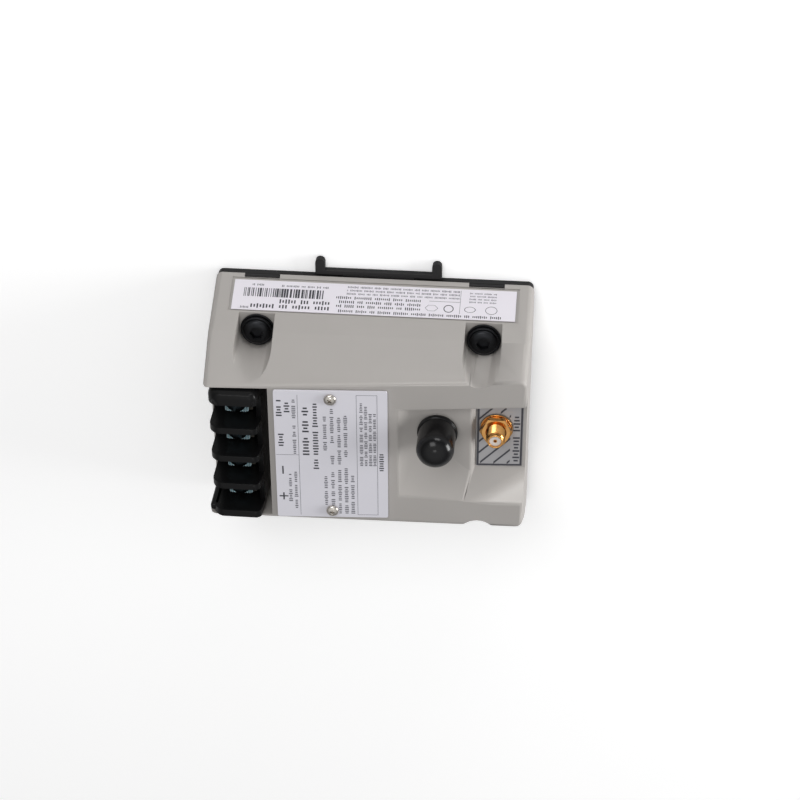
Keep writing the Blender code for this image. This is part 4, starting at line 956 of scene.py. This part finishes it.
    def terminal_clamp(self, number: int) -> None:
        """A square clamp plate with serrations and two lifted sides.

        Args:
            number: Which terminal.
        """
        name = f"terminal_clamp_{number}"
        box = Extent.of(name)
        bm = bmesh.new()
        bmesh.ops.create_cube(bm, size=1.0)
        bmesh.ops.scale(bm, vec=box.size, verts=bm.verts)
        rim = [e for e in bm.edges if abs(e.verts[0].co.z - e.verts[1].co.z) > 0.5 * box.size.z]
        bmesh.ops.bevel(bm, geom=rim, offset=self.clamp_corner, segments=3, profile=0.5,
                        affect="EDGES", material=-1)
        grooves = []
        for i in range(-4, 5):
            groove = polygon_prism(self.groove_radius, 4, -box.size.y, box.size.y)
            tilt = Matrix.Rotation(math.pi / 2, 4, "X")
            shift = Matrix.Translation((i * self.groove_spacing, 0, box.size.z / 2))
            grooves.append(moved(groove, shift @ tilt))
        hole = polygon_prism(self.clamp_bore, 32, -MILLIMETRE, MILLIMETRE)
        bm = carved(bm, grooves + [hole])
        half = box.size.y / 2
        bmesh.ops.bisect_plane(bm, geom=bm.verts[:] + bm.edges[:] + bm.faces[:], dist=1e-7,
                               plane_co=(0, 0, 0), plane_no=(0, 1, 0))
        for vert in bm.verts:
            vert.co.z += self.lifted * (abs(vert.co.y) / half - self.lifted_sink)
        moved(bm, Matrix.Translation(box.centre))
        self.bench.place(f"clamp_plate_{number}", bm, "zinc", "zinc", [name], weighted=False)

    def plate_screw(self, number: int) -> None:
        """A pan head with a cross recess.

        Args:
            number: Which screw.
        """
        name = f"name_plate_screw_{number}"
        box = Extent.of(name)
        radius = box.size.x / 2
        top = box.high.z
        base = top - self.pan_height
        crown = []
        for i in range(9):
            angle = math.radians(90 - 80 * i / 8)
            rise = 0.3 + 0.7 * math.sin(angle)
            crown.append((radius * math.cos(angle), base + (top - base) * rise))
        profile = [(0.0, top)] + crown[1:]
        profile += rounded((radius, base), (radius, top), (0.0, base), 0.12 * MILLIMETRE)
        profile += self.shank(self.pan_shank, base, box)
        cutters = cross_cutter(radius * 0.62, radius * 0.15, top, 0.9 * MILLIMETRE)
        bm = carved(spun(profile), cutters)
        moved(bm, box.upright @ Matrix.Rotation(math.radians(20 + 30 * number), 4, "Z"))
        self.bench.place(f"pan_screw_{number}", bm, "nickel", "nickel", [name])


@dataclass
class SmallJack:
    """The gold threaded jack and its nut, washer, insulator and contact."""

    bench: Bench
    thread_pitch: float = 0.705 * MILLIMETRE
    thread_depth: float = 0.38 * MILLIMETRE
    bore: float = 2.04 * MILLIMETRE
    tip_radius: float = 2.62 * MILLIMETRE
    contact_radius: float = 0.64 * MILLIMETRE
    contact_depth: float = 2.5 * MILLIMETRE
    thread_radius: float = 3.175 * MILLIMETRE
    thread_steps: int = 40
    tip_height: float = 0.9 * MILLIMETRE
    tip_foot: float = 1.1 * MILLIMETRE
    tip_clear: float = 1.2 * MILLIMETRE
    thread_start: float = 1.3 * MILLIMETRE
    wall_depth: float = 3.0 * MILLIMETRE
    flange_height: float = 1.4 * MILLIMETRE

    def build(self) -> None:
        """Make the jack's five pieces."""
        self.barrel()
        self.nut()
        self.washer()
        self.core()

    def barrel(self) -> None:
        """The body, with a helical thread above the nut."""
        box = Extent.of("sma_jack")
        washer = Extent.of("sma_washer")
        top = box.high.z
        root = self.thread_radius - self.thread_depth
        rim = 0.25 * MILLIMETRE
        flange = box.size.x / 2
        under = washer.low.z - self.wall_depth
        foot = under - self.flange_height
        profile = rounded_profile(
            [(self.bore, top), (self.tip_radius, top), (self.tip_radius, top - self.tip_height),
             (root, top - self.tip_foot), (root, washer.low.z),
             (self.thread_radius, washer.low.z), (self.thread_radius, under), (flange, under),
             (flange, foot), (self.thread_radius, foot), (self.thread_radius, box.low.z),
             (self.bore, box.low.z)], {0: rim * 0.5, 1: rim})
        body = spun(profile)
        turns = int((top - self.tip_clear - washer.low.z) / self.thread_pitch)
        ridge = bmesh.new()
        low = top - self.thread_start - turns * self.thread_pitch
        half = self.thread_pitch * 0.42
        sunk = root - 0.05 * MILLIMETRE
        corners = [(sunk, low - half), (self.thread_radius, low), (sunk, low + half)]
        verts = [ridge.verts.new((x, 0.0, z)) for x, z in corners]
        ridge.faces.new(verts)
        bmesh.ops.spin(ridge, geom=ridge.verts[:] + ridge.edges[:] + ridge.faces[:],
                       cent=(0, 0, 0), axis=(0, 0, 1), angle=2 * math.pi * turns,
                       dvec=(0, 0, self.thread_pitch / self.thread_steps),
                       steps=turns * self.thread_steps)
        bmesh.ops.recalc_face_normals(ridge, faces=ridge.faces)
        bm = moved(joined([body, ridge]), box.upright)
        self.bench.place("small_jack_body", bm, "gold", "gold", ["sma_jack"])

    def nut(self) -> None:
        """The hex nut, with chamfered corners."""
        box = Extent.of("sma_nut")
        corner = max(box.size.x, box.size.y) / 2
        across = min(box.size.x, box.size.y) / 2
        turn = 0.0 if box.size.x > box.size.y else math.pi / 6
        prism = polygon_prism(corner, 6, box.low.z, box.high.z, turn)
        chamfer = 0.45 * MILLIMETRE
        face = across * 0.97
        clear = corner * 1.01
        outside = corner * 1.5
        outer = spun([(face, box.high.z + MILLIMETRE), (face, box.high.z),
                      (clear, box.high.z - chamfer), (clear, box.low.z + chamfer),
                      (face, box.low.z), (face, box.low.z - MILLIMETRE),
                      (outside, box.low.z - MILLIMETRE), (outside, box.high.z + MILLIMETRE)])
        hole = polygon_prism(self.thread_radius + 0.05 * MILLIMETRE, 48,
                             box.low.z - MILLIMETRE, box.high.z + MILLIMETRE)
        above = box.high.z + 0.2 * MILLIMETRE
        below = box.high.z - 0.35 * MILLIMETRE
        lead = spun([(0.0, above), (self.thread_radius + 0.55 * MILLIMETRE, above),
                     (self.thread_radius, below), (0.0, below)])
        bm = moved(carved(prism, [outer, hole, lead]), Extent.of("sma_jack").upright)
        self.bench.place("small_jack_nut", bm, "gold", "gold", ["sma_nut"], sharp_deg=25)

    def washer(self) -> None:
        """A flat washer with its outer rims softened."""
        box = Extent.of("sma_washer")
        soft = 0.14 * MILLIMETRE
        bm = hoop(self.thread_radius + 0.1 * MILLIMETRE, box.size.x / 2, box.low.z, box.high.z,
                  {1: soft, 2: soft}, 3)
        moved(bm, Extent.of("sma_jack").upright)
        self.bench.place("small_jack_washer", bm, "gold", "gold", ["sma_washer"])

    def core(self) -> None:
        """The insulator and the hollow contact."""
        box = Extent.of("sma_insulator")
        pin = Extent.of("sma_contact")
        gap = 0.02 * MILLIMETRE
        upright = Extent.of("sma_jack").upright
        bm = hoop(self.contact_radius + gap, self.bore - gap, box.low.z, box.high.z,
                  {1: 0.1 * MILLIMETRE})
        moved(bm, upright)
        self.bench.place("small_jack_insulator", bm, "insulator", "insulator_white",
                         ["sma_insulator"])
        hollow = self.contact_radius * 0.68
        top = box.high.z + 0.1 * MILLIMETRE
        floor = top - self.contact_depth
        bm = spun([(0.0, floor), (hollow, floor), (hollow, top), (self.contact_radius, top),
                   (self.contact_radius, pin.low.z), (0.0, pin.low.z)], 32)
        self.bench.place("small_jack_contact", moved(bm, upright), "gold", "gold",
                         ["sma_contact"])


@dataclass
class CappedJack:
    """The bayonet jack's dust cap."""

    bench: Bench
    lip_height: float = 1.6 * MILLIMETRE
    dome_height: float = 4.9 * MILLIMETRE
    rise: float = 1.2 * MILLIMETRE
    wall: float = 0.6 * MILLIMETRE
    outer_radius: float = 6.33 * MILLIMETRE

    def build(self) -> None:
        """Make the cap with its rolled lip."""
        box = Extent.of("bnc_cap")
        lip = box.size.x / 2
        low = box.low.z
        line = box.high.z + self.rise - self.dome_height
        profile: list[Point2] = []
        for i in range(13):
            angle = math.radians(90 * i / 12)
            profile.append((self.outer_radius * math.sin(angle) ** 0.92,
                            line + self.dome_height * math.cos(angle)))
        profile.append((self.outer_radius, low + self.lip_height + 0.5 * MILLIMETRE))
        profile += rounded((self.outer_radius, low + self.lip_height), (self.outer_radius, line),
                           (lip, low + self.lip_height), 0.3 * MILLIMETRE)
        profile += rounded((lip, low + self.lip_height), (self.outer_radius, low + self.lip_height),
                           (lip, low), 0.45 * MILLIMETRE)
        profile += rounded((lip, low), (lip, low + self.lip_height), (0.0, low), 0.4 * MILLIMETRE)
        inner = self.outer_radius - self.wall
        profile += [(inner, low), (inner, line), (0.0, line + self.dome_height - self.wall)]
        bm = moved(spun(profile, 96), box.upright)
        self.bench.place("dust_cap", bm, "cap", "cap_black", ["bnc_cap"])
        for node, finish in (("bnc_jack", "nickel"), ("bnc_nut", "nickel"),
                             ("bnc_insulator", "insulator"), ("bnc_contact", "gold")):
            self.bench.dress(node, finish)


class InkSheet:
    """Ink laid on a flat label, as thin raised marks."""

    def __init__(self, sheet: Sheet, seed: int, thickness: float = 0.02 * MILLIMETRE) -> None:
        """Start an empty print.

        Args:
            sheet: The label's face.
            seed: What the broken lines are drawn from.
            thickness: The ink's thickness.
        """
        self.sheet = sheet
        self.chance = random.Random(seed)
        self.thickness = thickness
        self.bm = bmesh.new()

    def bar(self, low: Point2, high: Point2, slant: float = 0.0) -> None:
        """A filled bar between two corners.

        Args:
            low: The corner with the lower values.
            high: The corner with the higher values.
            slant: How far the bar's far end is shifted across.
        """
        made = bmesh.ops.create_cube(self.bm, size=1.0)
        verts = made["verts"]
        size = (high[0] - low[0], high[1] - low[1], self.thickness)
        bmesh.ops.scale(self.bm, vec=size, verts=verts)
        for vert in verts:
            vert.co.y += slant * (vert.co.x / size[0] + 0.5)
        middle = ((low[0] + high[0]) / 2, (low[1] + high[1]) / 2)
        bmesh.ops.transform(self.bm, matrix=self.sheet.matrix(*middle, self.thickness / 2),
                            verts=verts)

    def frame(self, low: Point2, high: Point2, width: float) -> None:
        """A ruled box.

        Args:
            low: The corner with the lower values.
            high: The corner with the higher values.
            width: The rule's width.
        """
        self.bar(low, (high[0], low[1] + width))
        self.bar((low[0], high[1] - width), high)
        self.bar((low[0], low[1] + width), (low[0] + width, high[1] - width))
        self.bar((high[0] - width, low[1] + width), (high[0], high[1] - width))

    def fine_line(self, start: Point2, length: float, height: float) -> None:
        """A broken line of short ticks in groups, where the label has small print.

        Args:
            start: The line's lower left end.
            length: The line's length.
            height: The ticks' height.
        """
        place = 0.0
        left = self.chance.randint(3, 8)
        while place < length - height * 0.4:
            if left == 0:
                place += height * 0.75
                left = self.chance.randint(3, 9)
                continue
            tick = height * self.chance.choice((0.62, 0.8, 1.0))
            low = (start[0] + place, start[1] + (height - tick) * 0.5)
            self.bar(low, (low[0] + height * 0.30, low[1] + tick))
            place += height * 0.58
            left -= 1

    def bar_field(self, low: Point2, high: Point2, pitch: float) -> None:
        """Upright bars of uneven width.

        Args:
            low: The corner with the lower values.
            high: The corner with the higher values.
            pitch: The mean distance between bars.
        """
        place = low[0]
        while place < high[0] - pitch:
            width = pitch * self.chance.choice((0.25, 0.45, 0.8))
            self.bar((place, low[1]), (place + width, high[1]))
            place += width + pitch * self.chance.choice((0.2, 0.35, 0.6))

    def ring(self, centre: Point2, radius: float, width: float, steps: int = 40,
             squeeze: float = 1.0) -> None:
        """A plain ring.

        Args:
            centre: The ring's middle.
            radius: Its outer radius.
            width: Its width.
            steps: How many faces go round.
            squeeze: Its height as a share of its breadth.
        """
        half = self.thickness / 2
        ring = hoop(radius - width, radius, -half, half, around=steps)
        bmesh.ops.scale(ring, vec=(1.0, squeeze, 1.0), verts=ring.verts)
        moved(ring, self.sheet.matrix(*centre, half))
        self.bm = joined([self.bm, ring])


@dataclass
class Printing:
    """The three labels and what is printed on them."""

    bench: Bench
    rule: float = 0.12 * MILLIMETRE

    def build(self) -> None:
        """Dress the labels and lay their ink."""
        for node, finish in (("name_plate", "plate"), ("serial_label", "serial"),
                             ("probe_label", "probe")):
            self.bench.dress(node, finish)
        self.plate_print()
        self.serial_print()
        self.probe_print()

    def plate_print(self) -> None:
        """Rules, terminal signs and broken lines on the name plate, read along +Y."""
        node = self.bench.nodes["name_plate"]
        sheet = Sheet.facing(node, Vector((0, 0, 1)), Vector((0, 1, 0)))
        box = Extent.of("name_plate")
        half_u = box.size.y / 2
        length_v = box.size.x
        dark = InkSheet(sheet, 3)
        pale = InkSheet(sheet, 5)

        def across(share: float) -> float:
            """A share of the plate's width, as a place on the sheet."""
            return length_v * (0.5 - share)

        def along(share: float) -> float:
            """A share of the plate's length, as a place on the sheet."""
            return half_u * (1 - 2 * share)

        def line(ink: InkSheet, column: float, start: float, end: float, height: float) -> None:
            """A broken line in a column, between two shares of the length."""
            ink.fine_line((along(end), across(column) - height / 2), along(start) - along(end),
                          height)

        rule = self.rule
        left_rule = across(0.212)
        pale.bar((along(0.985), left_rule), (along(0.03), left_rule + rule))
        pale.bar((along(0.5), left_rule), (along(0.5) + rule, across(0.008)))
        sign = 3.0 * MILLIMETRE
        thick = 0.5 * MILLIMETRE
        minus = (along(0.648), across(0.062))
        plus = (along(0.862), across(0.062))
        dark.bar((minus[0] - thick / 2, minus[1] - thick / 2),
                 (minus[0] + sign, minus[1] + thick / 2))
        dark.bar((plus[0], plus[1] - thick / 2), (plus[0] + sign, plus[1] + thick / 2))
        dark.bar((plus[0] + (sign - thick) / 2, plus[1] - sign / 2),
                 (plus[0] + (sign + thick) / 2, plus[1] + sign / 2))
        big = 1.9 * MILLIMETRE
        mid = 1.3 * MILLIMETRE
        fine = 1.15 * MILLIMETRE
        for column, start, end, height in (
                (0.045, 0.06, 0.195, big), (0.115, 0.085, 0.165, big), (0.055, 0.31, 0.43, big),
                (0.275, 0.12, 0.5, 2.2 * MILLIMETRE), (0.362, 0.05, 0.61, 1.9 * MILLIMETRE),
                (0.945, 0.45, 0.62, 1.6 * MILLIMETRE)):
            line(dark, column, start, end, height)
        for column, spans in ((0.175, ((0.05, 0.21), (0.26, 0.49), (0.62, 0.93))),
                              (0.125, ((0.645, 0.875),)),
                              (0.445, ((0.18, 0.46), (0.64, 0.90))),
                              (0.508, ((0.12, 0.40), (0.50, 0.57), (0.62, 0.92))),
                              (0.570, ((0.17, 0.57), (0.60, 0.97))),
                              (0.628, ((0.18, 0.51), (0.57, 0.97))),
                              (0.685, ((0.64, 0.97),)),
                              (0.768, ((0.08, 0.58),)), (0.808, ((0.10, 0.58),)),
                              (0.848, ((0.155, 0.58),)), (0.886, ((0.165, 0.58),))):
            for start, end in spans:
                line(pale, column, start, end, mid if column < 0.7 else fine)
        pale.frame((along(0.98), across(0.911)), (along(0.026), across(0.726)), rule)
        self.bench.place("name_plate_print", dark.bm, "ink", "block_black", weighted=False)
        self.bench.place("name_plate_fine_print", pale.bm, "pale_ink", "block_black",
                         weighted=False)

    def serial_print(self) -> None:
        """Bars, rules, rings and broken lines on the serial label."""
        node = self.bench.nodes["serial_label"]
        sheet = Sheet.facing(node, Vector((0, 1, 0.4)), Vector((-1, 0, 0)))
        box = Extent.of("serial_label")
        length = box.size.x
        height = math.hypot(box.size.y, box.size.z)
        dark = InkSheet(sheet, 11)
        pale = InkSheet(sheet, 13)
        upright = 1.0 if sheet.across.z > 0 else -1.0

        def at(along: float, down: float) -> Point2:
            """The place at shares of the label's length and height."""
            return (length * (0.5 - along), upright * height * (down - 0.5) * 0.96)

        def line(ink: InkSheet, start: float, end: float, down: float, size: float) -> None:
            """A broken line at a share of the height."""
            right, middle = at(end, down)
            ink.fine_line((right, middle - size / 2), length * (end - start), size)

        low = at(0.32, 0.55)
        high = at(0.028, 0.25)
        dark.bar_field((low[0], min(low[1], high[1])), (high[0], max(low[1], high[1])),
                       0.85 * MILLIMETRE)
        for start, end, down, size in ((0.165, 0.345, 0.685, 1.7), (0.065, 0.345, 0.865, 1.8)):
            line(dark, start, end, down, size * MILLIMETRE)
        for start, end, down in ((0.06, 0.105, 0.14), (0.165, 0.335, 0.15), (0.02, 0.06, 0.93)):
            line(pale, start, end, down, 0.85 * MILLIMETRE)
        for row in range(3):
            line(pale, 0.40, 0.80, 0.09 + 0.115 * row, 0.8 * MILLIMETRE)
            line(dark, 0.365, 0.665, 0.46 + 0.145 * row, 1.15 * MILLIMETRE)
        line(dark, 0.365, 0.95, 0.92, 1.1 * MILLIMETRE)
        divider_low = at(0.805, 0.84)
        divider_high = at(0.805, 0.04)
        rule = self.rule
        pale.bar((divider_low[0], min(divider_low[1], divider_high[1])),
                 (divider_low[0] + rule, max(divider_low[1], divider_high[1])))
        shelf = at(0.805, 0.44)
        pale.bar(shelf, (shelf[0] + length * 0.11, shelf[1] + rule))
        for row in range(4):
            line(pale, 0.835, 0.93, 0.12 + 0.10 * row, 0.66 * MILLIMETRE)
        dark.ring(at(0.84, 0.68), 1.9 * MILLIMETRE, 0.22 * MILLIMETRE, 40, 0.62)
        dark.ring(at(0.915, 0.68), 2.0 * MILLIMETRE, 0.18 * MILLIMETRE, 40, 0.8)
        dark.ring(at(0.705, 0.68), 2.2 * MILLIMETRE, 0.16 * MILLIMETRE, 6, 0.62)
        dark.ring(at(0.765, 0.68), 1.7 * MILLIMETRE, 0.30 * MILLIMETRE, 40, 0.9)
        self.bench.place("serial_label_print", dark.bm, "ink", "block_black", weighted=False)
        self.bench.place("serial_label_fine_print", pale.bm, "pale_ink", "block_black",
                         weighted=False)

    def probe_print(self) -> None:
        """A dark border and diagonal stripes on the label round the small jack."""
        node = self.bench.nodes["probe_label"]
        sheet = Sheet.facing(node, Vector((0, 0, 1)), Vector((1, 0, 0)))
        box = Extent.of("probe_label")
        half_u = box.size.x / 2
        half_v = box.size.y / 2
        edge = 0.05 * MILLIMETRE
        width = 0.72 * MILLIMETRE
        stripe = 0.46 * MILLIMETRE
        ink = InkSheet(sheet, 17)
        ink.frame((-half_u + edge, -half_v + edge), (half_u - edge, half_v - edge), width)
        stripes_end = half_u * 0.42
        jack = Extent.of("sma_washer")
        centre = Vector((jack.centre.x, jack.centre.y))
        keep_out = jack.size.x / 2 + 0.3 * MILLIMETRE
        pitch = 4.6 * MILLIMETRE
        count = int(2 * box.size.y / pitch) + 2
        step = 0.5 * MILLIMETRE
        for number in range(-count, count):
            offset = -half_v + number * pitch
            u = -half_u + width + edge
            while u < stripes_end:
                v = offset + (u + half_u)
                inside = -half_v + width + edge < v < half_v - width - edge - step
                spot = sheet.matrix(u, v).translation
                clear = (Vector((spot.x, spot.y)) - centre).length > keep_out
                if inside and clear:
                    ink.bar((u, v - stripe), (u + step, v + stripe), step)
                u += step
        start = (stripes_end + 1.1 * MILLIMETRE, -half_v + 1.8 * MILLIMETRE)
        upright = Sheet(sheet.origin, sheet.across, -sheet.along, sheet.normal)
        legend = InkSheet(upright, 19)
        legend.fine_line((start[1], -start[0] - 2.4 * MILLIMETRE), half_v * 1.75, 2.3 * MILLIMETRE)
        ink.bm = joined([ink.bm, legend.bm])
        self.bench.place("probe_label_print", ink.bm, "ink", "block_black", weighted=False)


@dataclass
class Inside:
    """What lies inside the housing and under the latch."""

    bench: Bench
    travel: float = 3.0 * MILLIMETRE
    finishes: Mapping[str, str] = field(default_factory=lambda: {
        "circuit_board": "board", "zero_adjuster": "adjuster", "span_adjuster": "adjuster"})

    def build(self) -> None:
        """Dress the nodes that keep their solids."""
        for node, finish in self.finishes.items():
            self.bench.dress(node, finish)
        for number in range(1, 5):
            self.bench.dress(f"board_screw_{number}", "zinc")
            self.bench.dress(f"terminal_tab_{number}", "brass")
        self.latch_spring()

    def latch_spring(self) -> None:
        """The coil that the latch's slot presses against the base plate's stop."""
        box = Extent.of("latch_spring")
        spring = self.bench.place("pull_spring", self.bench.copied("latch_spring"), "spring",
                                  "spring_steel", ["latch_spring"], Body.LATCH, weighted=False)
        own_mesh(spring)


@dataclass
class Studio:
    """The floor, the lights and the camera."""

    eye: Vector = field(default_factory=lambda: Vector((0.06517, 0.40445, 0.60982)))
    view: Vector = field(default_factory=lambda: Vector((-0.07706, -0.55859, -0.82585)))
    up: Vector = field(default_factory=lambda: Vector((-0.04904, 0.82944, -0.55644)))
    lens_mm: float = 94.3
    sensor_mm: float = 36.0
    world_strength: float = 0.45
    glossy_strength: float = 0.75
    floor_size: float = 6.0

    def build(self) -> None:
        """Set the stage."""
        self.camera()
        self.floor()
        self.world()
        self.lamp("key_softbox", (-0.12, 0.44, 0.50), 0.30, 1.08)
        self.lamp("low_softbox", (0.25, 1.25, 0.04), 0.60, 5.4)
        self.lamp("end_softbox", (1.0, 0.10, 0.12), 0.50, 11.0)
        self.lamp("glint_softbox", (0.0, 0.0, 1.3), 0.14, 0.5)
        scene = bpy.context.scene
        scene.view_settings.view_transform = "Standard"

    def camera(self) -> None:
        """Put the camera at the photograph's place."""
        data = bpy.data.cameras.new("camera")
        data.lens = self.lens_mm
        data.sensor_width = self.sensor_mm
        data.clip_start = 0.01
        camera = bpy.data.objects.new("camera", data)
        bpy.context.scene.collection.objects.link(camera)
        back = -self.view.normalized()
        right = self.up.cross(back).normalized()
        above = back.cross(right)
        turn = Matrix((right, above, back)).transposed().to_4x4()
        camera.matrix_world = Matrix.Translation(self.eye) @ turn
        bpy.context.scene.camera = camera

    def floor(self) -> None:
        """A pale floor that keeps the object's shadow and is white behind it."""
        bm = bmesh.new()
        bmesh.ops.create_grid(bm, x_segments=1, y_segments=1, size=self.floor_size / 2)
        mesh = bpy.data.meshes.new("floor")
        bm.to_mesh(mesh)
        bm.free()
        floor = bpy.data.objects.new("floor", mesh)
        floor.location.z = -0.02 * MILLIMETRE
        bpy.context.scene.collection.objects.link(floor)
        graph = Graph("floor_paper")
        rays = graph.add("ShaderNodeLightPath")
        seen = Signal(graph, rays.outputs["Is Camera Ray"])
        graph.feed(graph.shader, {"Base Color": graph.blend(seen, (0.72, 0.72, 0.72), (1, 1, 1)),
                                  "Roughness": 0.9, "Specular IOR Level": 0.0,
                                  "Emission Color": graph.blend(seen, (0, 0, 0), (1, 1, 1)),
                                  "Emission Strength": 0.25})
        mesh.materials.append(graph.material)

    def world(self) -> None:
        """An even pale sky, white behind the object and banded in polished surfaces."""
        world = bpy.data.worlds.new("studio")
        bpy.context.scene.world = world
        world.use_nodes = True
        tree = world.node_tree
        tree.nodes.clear()
        output = tree.nodes.new("ShaderNodeOutputWorld")
        path = tree.nodes.new("ShaderNodeLightPath")
        even = tree.nodes.new("ShaderNodeBackground")
        even.inputs["Strength"].default_value = self.world_strength
        white = tree.nodes.new("ShaderNodeBackground")
        bands = tree.nodes.new("ShaderNodeBackground")
        bands.inputs["Strength"].default_value = self.glossy_strength
        coordinates = tree.nodes.new("ShaderNodeTexCoord")
        axes = tree.nodes.new("ShaderNodeSeparateXYZ")
        ramp = tree.nodes.new("ShaderNodeValToRGB")
        Graph.set_stops(ramp, ((0.0, (0.9, 0.9, 0.9)), (0.28, (0.22, 0.22, 0.22)),
                                (0.55, (0.45, 0.45, 0.46)), (0.85, (1.0, 1.0, 1.0))))
        glossy = tree.nodes.new("ShaderNodeMixShader")
        final = tree.nodes.new("ShaderNodeMixShader")
        links = tree.links
        links.new(coordinates.outputs["Generated"], axes.inputs[0])
        links.new(axes.outputs["Z"], ramp.inputs[0])
        links.new(ramp.outputs[0], bands.inputs["Color"])
        links.new(path.outputs["Is Glossy Ray"], glossy.inputs[0])
        links.new(even.outputs[0], glossy.inputs[1])
        links.new(bands.outputs[0], glossy.inputs[2])
        links.new(path.outputs["Is Camera Ray"], final.inputs[0])
        links.new(glossy.outputs[0], final.inputs[1])
        links.new(white.outputs[0], final.inputs[2])
        links.new(final.outputs[0], output.inputs[0])
        white.inputs["Color"].default_value = (1, 1, 1, 1)
        even.inputs["Color"].default_value = (1, 1, 1, 1)

    def lamp(self, name: str, place: Sequence[float], size: float, power: float) -> None:
        """A square softbox that looks at the object.

        Args:
            name: The lamp's name.
            place: Where it hangs.
            size: Its edge length.
            power: Its power in watts.
        """
        data = bpy.data.lights.new(name, "AREA")
        data.size = size
        data.energy = power
        lamp = bpy.data.objects.new(name, data)
        lamp.location = place
        lamp.rotation_euler = Vector(place).to_track_quat("Z", "Y").to_euler()
        bpy.context.scene.collection.objects.link(lamp)


def main() -> None:
    """Load the frame, build every piece, and report it."""
    logging.basicConfig(level=logging.INFO, format="%(message)s")
    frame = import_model()
    bench = Bench(frame, Palette())
    builders: Sequence[Callable[[], None]] = [
        Studio().build, Moulding(bench).build, Fasteners(bench).build, SmallJack(bench).build,
        CappedJack(bench).build, Printing(bench).build, Inside(bench).build]
    for build in builders:
        build()
    LOG.info("%d pieces", bench.count)


if __name__ == "__main__":
    main()
